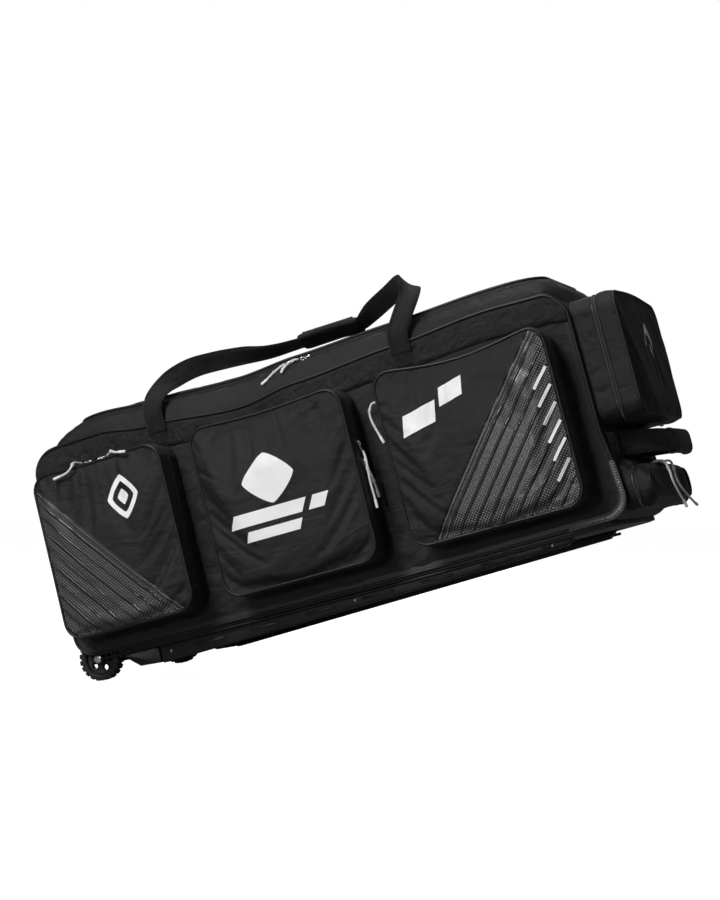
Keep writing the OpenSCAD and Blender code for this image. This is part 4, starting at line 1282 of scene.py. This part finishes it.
def makeAnchors():
    # sewn feet of the three handles, each with a box and a cross of stitches
    low, high = bagBox("handle_anchors")
    bm, sewn = bmesh.new(), bmesh.new()
    strap = bagBox("rear_handle_strap")
    for x in (strap[0].x + 18, strap[1].x - 18):
        for side in (-1, 1):
            y = low.y if side < 0 else high.y
            z0, z1 = bagHeight - 41, bagHeight - 8

            def footPoint(u, v, x=x, side=side, y=y, z0=z0, z1=z1):
                dome = 1 - (abs(u - 0.5) * 2) ** 6
                return sagged(x + (u - 0.5) * 36, y - side * 2.2 + side * 2.4 * dome, z0 + (z1 - z0) * v)
            foot = gridMesh(12, 10, footPoint, 36, 33)
            if side > 0:
                bmesh.ops.reverse_faces(foot, faces=foot.faces)
            mergeInto(bm, foot)
            corners = [(x - 14, z0 + 4), (x + 14, z0 + 4), (x + 14, z1 - 5), (x - 14, z1 - 5)]
            runs = [(corners[i], corners[(i + 1) % 4]) for i in range(4)]
            runs += [(corners[0], corners[2]), (corners[1], corners[3])]
            for a, b in runs:
                line = [sagged(a[0] + (b[0] - a[0]) * t / 8, y + side * 0.3, a[1] + (b[1] - a[1]) * t / 8)
                        for t in range(9)]
                stitchAlong(sewn, line)
    for s in (-1, 1):
        y0, y1 = (high.x, 0) and (s * 118, s * 164)
        lift = 0.0

        def padPoint(u, v, s=s):
            y = s * (116 + 46 * u)
            z = bagHeight - 268 + 40 * v
            dome = 1 - (abs(v - 0.5) * 2) ** 6
            return Vector((bagLength + 1.0 + 2.4 * dome - 5 * smoothStep(0.4, 1.0, u), y, z))
        foot = gridMesh(12, 10, padPoint, 46, 40)
        if s < 0:
            bmesh.ops.reverse_faces(foot, faces=foot.faces)
        mergeInto(bm, foot)
        corners = [(s * 121, bagHeight - 263), (s * 150, bagHeight - 263), (s * 150, bagHeight - 233),
                   (s * 121, bagHeight - 233)]
        runs = [(corners[i], corners[(i + 1) % 4]) for i in range(4)]
        runs += [(corners[0], corners[2]), (corners[1], corners[3])]
        for a, b in runs:
            line = []
            for t in range(9):
                y = a[0] + (b[0] - a[0]) * t / 8
                u = (abs(y) - 116) / 46
                line.append((bagLength + 3.6 - 5 * smoothStep(0.4, 1.0, u), y,
                             a[1] + (b[1] - a[1]) * t / 8))
            stitchAlong(sewn, line)
    makePiece("handle_feet", bm, "webbing", "bag", ["handle_anchors"], "webbing", thickness=1.6, subdivide=1)
    makePiece("handle_stitching", sewn, "stitch", "bag", slot="webbing")


# ---- sliders

sliderLook = {"length": 12, "width": 8.6, "body": 2.6, "ring": 4.0, "wire": 1.0}


def sliderMesh():
    # one nickel slider on z = 0, its puller towards +x
    bm = bmesh.new()
    block(bm, (-1.2, 0, 0.5), (sliderLook["length"] - 3.4, sliderLook["width"], 1.0), None, 0.45)
    block(bm, (-1.2, 0, 2.1), (sliderLook["length"] - 3.4, sliderLook["width"] - 0.6, 1.0), None, 0.45)
    block(bm, (3.6, 0, 1.2), (3.2, 3.6, 2.2), None, 0.5)                  # nose between the plates
    for side in (-1, 1):                                                   # side guards
        block(bm, (-3.0, side * 4.0, 1.3), (5.0, 0.9, 2.2), None, 0.35)
    bridge = [(-4.2, 0, 2.4), (-3.6, 0, 3.5), (-1.8, 0, 4.0), (0.6, 0, 4.0), (2.2, 0, 3.4), (2.8, 0, 2.4)]
    mergeInto(bm, tubeMesh(smoothRoute(bridge, 3), lambda share: 0.75, 8))
    tab = [(0.2, -1.2, 3.1), (2.6, -1.5, 3.0), (4.6, -1.4, 2.8), (4.6, 1.4, 2.8), (2.6, 1.5, 3.0),
           (0.2, 1.2, 3.1), (0.2, -1.2, 3.1)]
    mergeInto(bm, tubeMesh(tab, lambda share: 0.62, 6, closed=True))
    ring = [(7.5 + 3.3 * math.cos(2 * math.pi * i / 24), 3.0 * math.sin(2 * math.pi * i / 24), 2.7)
            for i in range(25)]
    mergeInto(bm, tubeMesh(ring, lambda share: 0.8, 8, closed=True))
    return bm


def makeSliders():
    quarter = math.pi / 2
    turnZ = lambda a: Matrix.Rotation(a, 4, "Z")
    slope = math.atan2(2 * halfWidth - 10 - collar["lidWidth"], 2 * collar["height"])
    mainTurn = Matrix.Rotation(quarter - slope, 4, "X") @ turnZ(math.pi)
    turns = {
        "main_slider_a": mainTurn, "main_slider_b": mainTurn,
        "left_slider_a": turnZ(math.pi), "left_slider_b": turnZ(0),
        "middle_slider_a": Matrix.Rotation(quarter, 4, "Y"),
        "middle_slider_b": Matrix.Rotation(quarter, 4, "Y"),
        "right_slider": Matrix.Rotation(-quarter, 4, "Y") @ turnZ(math.pi),
        "end_slider": turnZ(quarter) @ Matrix.Rotation(math.pi, 4, "X"),
        "low_slider_a": turnZ(-quarter), "low_slider_b": turnZ(quarter),
    }
    middle = Vector((2.75, 0, 3.25))
    for name, turn in turns.items():
        low, high = bagBox(name)
        bm = sliderMesh()
        bm.transform(Matrix.Translation((low + high) / 2 - turn @ middle)
                     @ turn @ Matrix.Translation((0, 0, 1.4)))
        bmesh.ops.recalc_face_normals(bm, faces=bm.faces)
        makePiece("nickel_" + name, bm, "steel", bodyOf(name), [name], "steel", weld=0.001)
    print("sliders made:", len(turns))


# ---- wheels, chassis and base

wheelLook = {"lugs": 20, "lugHeight": 2.0, "groove": 1.4}


def makeWheel(label, side):
    low, high = bagBox(label + "_tyre")
    centre = (low + high) / 2
    radius, width = (high.x - low.x) / 2, high.y - low.y
    hubLow, hubHigh = bagBox(label + "_hub")
    rim = (hubHigh.x - hubLow.x) / 2
    core = radius - wheelLook["lugHeight"]
    # carcass, spun about the axle
    bm = bmesh.new()
    profile = [(rim, -width / 2 + 1), (rim + 2, -width / 2 + 0.4), (core - 4, -width / 2 + 0.2),
               (core - 1.2, -width / 2 + 1.6), (core, -width / 2 + 4), (core + 0.3, -2), (core + 0.3, 2),
               (core, width / 2 - 4), (core - 1.2, width / 2 - 1.6), (core - 4, width / 2 - 0.2),
               (rim + 2, width / 2 - 0.4), (rim, width / 2 - 1)]
    verts = [bm.verts.new((r, y, 0)) for r, y in profile]
    edges = [bm.edges.new((verts[i], verts[(i + 1) % len(verts)])) for i in range(len(verts))]
    bmesh.ops.spin(bm, geom=verts + edges, cent=(0, 0, 0), axis=(0, 1, 0), angle=2 * math.pi, steps=80,
                   use_merge=True)
    bmesh.ops.remove_doubles(bm, verts=bm.verts, dist=0.001)
    bmesh.ops.recalc_face_normals(bm, faces=bm.faces)
    # tread blocks: a pair on the shoulders, one in the middle between them
    count = wheelLook["lugs"]
    tall = wheelLook["lugHeight"] + 1.6
    for k in range(count):
        angle = 2 * math.pi * k / count
        half = math.pi / count
        for turn, y, wide, long in ((angle, -width / 2 + 4.2, 7.0, 0.66), (angle, width / 2 - 4.2, 7.0, 0.66),
                                    (angle + half, 0, 8.0, 0.6)):
            size = (tall, wide, 2 * math.pi * radius / count * long)
            spot = Matrix.Rotation(turn, 4, "Y")
            place = spot @ Vector((radius - tall / 2 - 0.1, y, 0))
            block(bm, place, size, spot, 0.7)
    bm.transform(Matrix.Translation(centre))
    makePiece(label + "_tread", bm, "tread", bodyOf(label + "_tyre"), [label + "_tyre"], "tread",
              weld=0.0005)
    softened(label + "_hub", label + "_spokes", "moulding", "moulded_plastic", 0.6)
    softened(label + "_bush", label + "_sleeve", "nylon", "bush_plastic", 0.3)


def makeBase():
    softened("wheel_chassis", "wheel_carrier", "moulding", "moulded_plastic", 1.6)
    softened("wheel_bolts", "axle_bolts", "steel", "steel", 0.5)
    softened("base_panel", "base_sheet", "moulding", "moulded_plastic", 1.4)
    softened("base_board", "stiff_board", "liner", "board", 0.4)

    def ribs(bm):
        # shallow grooves' shadow lines along each runner's outer face
        low, high = bagBox("skid_rails")
        for side in (-1, 1):
            y = low.y if side < 0 else high.y
            for k in range(7):
                x = low.x + 95 + k * 105
                block(bm, (x, y + side * 0.2, -14 - (7 - k) * 1.4), (56, 1.6, 5), None, 0.5)
    softened("skid_rails", "skid_runners", "moulding", "moulded_plastic", 2.0, extra=ribs)
    low, high = bagBox("rail_rivets")
    bm = bmesh.new()
    source = fromNode("rail_rivets")
    centres = []
    for v in source.verts:
        if not any((v.co.xz - c.xz).length < 12 and c.y * v.co.y > 0 for c in centres):
            centres.append(v.co.copy())
    groups = [[v.co for v in source.verts if (v.co.xz - c.xz).length < 12 and c.y * v.co.y > 0]
              for c in centres]
    source.free()
    for group in groups:
        middle = sum(group, Vector()) / len(group)
        side = 1 if middle.y > 0 else -1
        dome = bmesh.ops.create_uvsphere(bm, u_segments=20, v_segments=10, radius=3.5)["verts"]
        bmesh.ops.scale(bm, vec=(1, 0.42, 1), verts=dome)
        bmesh.ops.translate(bm, vec=(middle.x, middle.y - side * 0.7, middle.z), verts=dome)
    makePiece("rail_rivet_heads", bm, "rivet", "bag", ["rail_rivets"], "steel", weld=0.001)


def makeCornerGuard():
    # a moulded strip of close teeth round the lower corner at the handle end
    low, high = bagBox("corner_guard")
    r = shell["cornerRadius"] - 3
    bm = softCorner = fromNode("corner_guard")
    edges = [e for e in bm.edges if len(e.link_faces) == 2 and e.calc_face_angle() > 0.5]
    bmesh.ops.bevel(bm, geom=edges, offset=0.7, offset_type="OFFSET", segments=2, profile=0.5,
                    affect="EDGES", material=-1, clamp_overlap=True)
    y = low.y - 0.4
    run = []
    for i in range(14):
        run.append((bagLength - 96 + i * 4.4, 3.0, 0.0))
    for i in range(14):
        angle = -math.pi / 2 + math.pi / 2 * i / 13
        run.append((bagLength - r - 3 + r * math.cos(angle), r + 3 + r * math.sin(angle), angle + math.pi / 2))
    for i in range(1, 12):
        run.append((bagLength - 3, r + 3 + i * 4.4, math.pi / 2))
    for x, z, angle in run:
        block(bm, (x, y, z), (2.7, 2.2, 6.4), Matrix.Rotation(-angle, 4, "Y"), 0.6)
    for v in bm.verts:
        v.co = sagged(*v.co)
    makePiece("corner_teeth", bm, "corner", "bag", ["corner_guard"], "moulded_plastic", weld=0.0005)


# ---- flat things on the pocket faces

def layOn(label, columns, rows, flatAt, sizeU, sizeV, lift):
    # a patch that follows the pocket's swollen face; flatAt gives (x, z)
    def pointAt(u, v):
        x, z = flatAt(u, v)
        return Vector((x, faceY(label, x, z) - lift, z))
    return gridMesh(columns, rows, pointAt, sizeU, sizeV)


def barPatch(label, corners, lift=0.9, columns=40, rows=8):
    (ax, az), (bx, bz), (cx, cz), (dx, dz) = corners      # lower left, lower right, upper right, upper left

    def flatAt(u, v):
        x = (ax + (bx - ax) * u) * (1 - v) + (dx + (cx - dx) * u) * v
        z = (az + (bz - az) * u) * (1 - v) + (dz + (cz - dz) * u) * v
        return x, z
    return layOn(label, columns, rows, flatAt, 60, 20, lift)


# plain printed shapes: a lozenge ring round a small lozenge, a lozenge over two rows of bars, a wedge pair, a tall
# lozenge ring round a small lozenge
marks = {
    "left": {"centre": (195, 245), "half": (30, 38), "line": 9, "core": 0.36},
    "middle": {"centre": (459, 207), "half": (47, 42), "bars": (372, 112, 556, 160)},
    "right": {"corner": (700, 206), "size": (58, 34), "second": (40, 30)},
    "end": {"centre": (0, 250), "half": (36, 56), "line": 11},
}


def lozenge(label, centre, half, inner, lift=0.9):
    # a four-cornered ring with soft corners; inner is how far in it is filled, from 0 to 1
    def flatAt(u, v):
        angle = -2 * math.pi * u
        c, s = math.cos(angle), math.sin(angle)
        size = (abs(c) ** 1.25 + abs(s) ** 1.25) ** (-1 / 1.25)
        share = 1 - v * inner
        return centre[0] + half[0] * size * c * share, centre[1] + half[1] * size * s * share
    return layOn(label, 96, 6, flatAt, 3 * sum(half), half[0] * inner, lift)


def makeMarks():
    m = marks["left"]
    bm = lozenge("left", m["centre"], m["half"], m["line"] / m["half"][0])
    mergeInto(bm, lozenge("left", m["centre"], [h * m["core"] for h in m["half"]], 1.0))
    makePiece("left_pocket_mark", bm, "print", "left_cover", weld=0.0005)
    m = marks["middle"]
    bm = lozenge("middle", m["centre"], m["half"], 1.0)
    x0, z0, x1, z1 = m["bars"]
    slant = 12
    mergeInto(bm, barPatch("middle", [(x0, z0 + 26), (x1 - 52, z0 + 26), (x1 - 52 + slant, z1), (x0 + slant, z1)]))
    mergeInto(bm, barPatch("middle", [(x1 - 40, z0 + 26), (x1 - slant, z0 + 26), (x1, z1), (x1 - 40 + slant, z1)]))
    mergeInto(bm, barPatch("middle", [(x0 + 24, z0), (x1 - 62, z0), (x1 - 54, z0 + 17), (x0 + 32, z0 + 17)]))
    makePiece("middle_pocket_mark", bm, "print", "middle_cover", weld=0.0005)
    m = marks["right"]
    x, z = m["corner"]
    (w, h), (w2, h2) = m["size"], m["second"]
    bm = barPatch("right", [(x, z), (x + w, z + 12), (x + w + 6, z + h + 12), (x + 6, z + h)])
    mergeInto(bm, barPatch("right", [(x + w + 12, z + 32), (x + w + 12 + w2, z + 42),
                                     (x + w + 16 + w2, z + 42 + h2), (x + w + 16, z + 32 + h2)]))
    makePiece("right_pocket_mark", bm, "print", "right_cover", weld=0.0005)
    m = marks["end"]
    bm = lozenge("end", m["centre"], m["half"], m["line"] / m["half"][0], 1.8)
    mergeInto(bm, lozenge("end", m["centre"], [h * 0.34 for h in m["half"]], 1.0, 1.8))
    bm.transform(endTurn)
    makePiece("end_pocket_mark", bm, "print", "end_cover", weld=0.0005)
    print("marks made")


# the last list names the ribs whose upper end gets a white strip: a painted highlight for the glint on the glossy
# bars
overlays = {
    "left": {"corners": ((32, 300), (252, 44), (32, 44)), "ribs": 9, "paintedGlints": ()},
    "right": {"corners": ((704, 34), (922, 300), (950, 34)), "ribs": 10, "paintedGlints": (2, 3, 4, 5, 6, 7)},
}


def makeOverlay(label):
    # an embossed rubber corner: a thin sheet, raised bars along its slanted edge, and a bound edge
    low, high = bagBox(label + "_pocket_cover")
    a, b, c = [Vector((p[0], p[1])) for p in overlays[label]["corners"]]
    inset, r = 3.0, pocketLook["radius"] - 2

    def kept(x, z):
        # keeps clear of the piping and its rounded corners
        x = min(max(x, low.x + inset), high.x - inset)
        z = min(max(z, low.z + inset), high.z - inset)
        px = min(max(x, low.x + inset + r), high.x - inset - r)
        pz = min(max(z, low.z + inset + r), high.z - inset - r)
        out = math.hypot(x - px, z - pz)
        if out > r:
            x, z = px + (x - px) * r / out, pz + (z - pz) * r / out
        return x, z
    # beyond the slanted edge the sheet reaches out to the pocket's own edge
    along = (b - a).normalized()
    away = Vector((along.y, -along.x))
    if (c - a).dot(away) < 0:
        away = -away
    depth = (c - a).dot(away) + 34
    start, stop = -46, (b - a).length + 46

    def flatAt(u, v):
        p = a + along * (start + (stop - start) * u) + away * depth * v
        return kept(p.x, p.y)
    bm = layOn(label, 150, 84, flatAt, stop - start, depth, 0.7)
    if (bm.faces[:] and sum(f.normal.y for f in bm.faces) > 0):
        bmesh.ops.reverse_faces(bm, faces=bm.faces)
    bmesh.ops.dissolve_degenerate(bm, dist=0.02, edges=bm.edges)
    makePiece(label + "_rubber_corner", bm, "emboss", label + "_cover", slot="shell_fabric", thickness=0.5,
              inward=False)
    bars, paintedGlints = bmesh.new(), bmesh.new()
    count = overlays[label]["ribs"]
    for k in range(count):
        off = 14 + (depth - 40) * k / count
        line = []
        for i in range(101):
            p = a + along * (start + (stop - start) * i / 100) + away * off
            x, z = kept(p.x, p.y)
            if abs(x - p.x) + abs(z - p.y) < 0.8:
                line.append((x, z))
        if len(line) < 6:
            continue

        def barAt(u, v, line=line):
            i = u * (len(line) - 1)
            k0 = min(int(i), len(line) - 2)
            t = i - k0
            x = line[k0][0] + (line[k0 + 1][0] - line[k0][0]) * t
            z = line[k0][1] + (line[k0 + 1][1] - line[k0][1]) * t
            taper = 4.2 * min(1, 8 * u, 8 * (1 - u)) + 0.3
            x, z = x + away.x * (v - 0.5) * taper, z + away.y * (v - 0.5) * taper
            return x, z
        strip = gridMesh(90, 4, lambda u, v, f=barAt: Vector((
            f(u, v)[0], faceY(label, *f(u, v)) - 0.9 - 0.9 * math.sin(math.pi * v), f(u, v)[1])),
            200, 4)
        if sum(f.normal.y for f in strip.faces) > 0:
            bmesh.ops.reverse_faces(strip, faces=strip.faces)
        mergeInto(bars, strip)
        if k in overlays[label]["paintedGlints"] and len(line) > 14:
            # a white strip on the upper end of the bar: a painted highlight for the glint the glossy bar catches
            near = (line if line[-1][1] > line[0][1] else line[::-1])[-11:-1]

            def paintedGlintAt(u, v, near=near):
                i = u * (len(near) - 1)
                k0 = min(int(i), len(near) - 2)
                t = i - k0
                x = near[k0][0] + (near[k0 + 1][0] - near[k0][0]) * t + away.x * (v - 0.5) * 4.6
                z = near[k0][1] + (near[k0 + 1][1] - near[k0][1]) * t + away.y * (v - 0.5) * 4.6
                return Vector((x, faceY(label, x, z) - 2.3, z))
            paintedGlintStrip = gridMesh(24, 2, paintedGlintAt, 40, 5)
            if sum(f.normal.y for f in paintedGlintStrip.faces) > 0:
                bmesh.ops.reverse_faces(paintedGlintStrip, faces=paintedGlintStrip.faces)
            mergeInto(paintedGlints, paintedGlintStrip)
    makePiece(label + "_rubber_bars", bars, "gloss", label + "_cover", slot="shell_fabric", thickness=0.5,
              weld=0.0005)
    # the painted highlight strips take the white print finish
    if paintedGlints.faces:
        makePiece(label + "_painted_glint_strips", paintedGlints, "print", label + "_cover", slot="shell_fabric", weld=0.0005)
    edge = bmesh.new()
    for off, thick in ((0, 1.3), (7, 0.7)):
        run = []
        for i in range(121):
            p = a + along * (start + (stop - start) * i / 120) + away * off
            x, z = kept(p.x, p.y)
            if abs(x - p.x) + abs(z - p.y) < 1.0:
                run.append(Vector((x, faceY(label, x, z) - 1.0, z)))
        mergeInto(edge, tubeMesh(run, lambda share: thick, 8))
    makePiece(label + "_rubber_edge", edge, "piping", label + "_cover", slot="moulded_plastic")


makeLongPanel("front_cloth", -1, "front_panel")
makeLongPanel("rear_cloth", 1, "rear_panel")
makeEndPanel("handle_end_cloth", "handle_end_panel", True)
makeEndPanel("wheel_end_cloth", "wheel_end_panel", False)
makeEdges()
makeBands()
makeCollar()
makeLid()
print("shell made")
for pocket in ("left", "middle", "right", "end", "low"):
    makePocket(pocket)
    print(pocket, "pocket made")
makeFrontHandle()
makeRearHandle()
makeEndHandle()
makeAnchors()
print("handles made")
makeSliders()
makeWheel("front", -1)
makeWheel("rear", 1)
makeBase()
makeCornerGuard()
print("wheels and base made")
makeMarks()
for pocket in ("left", "right"):
    makeOverlay(pocket)
print("rubber corners made")
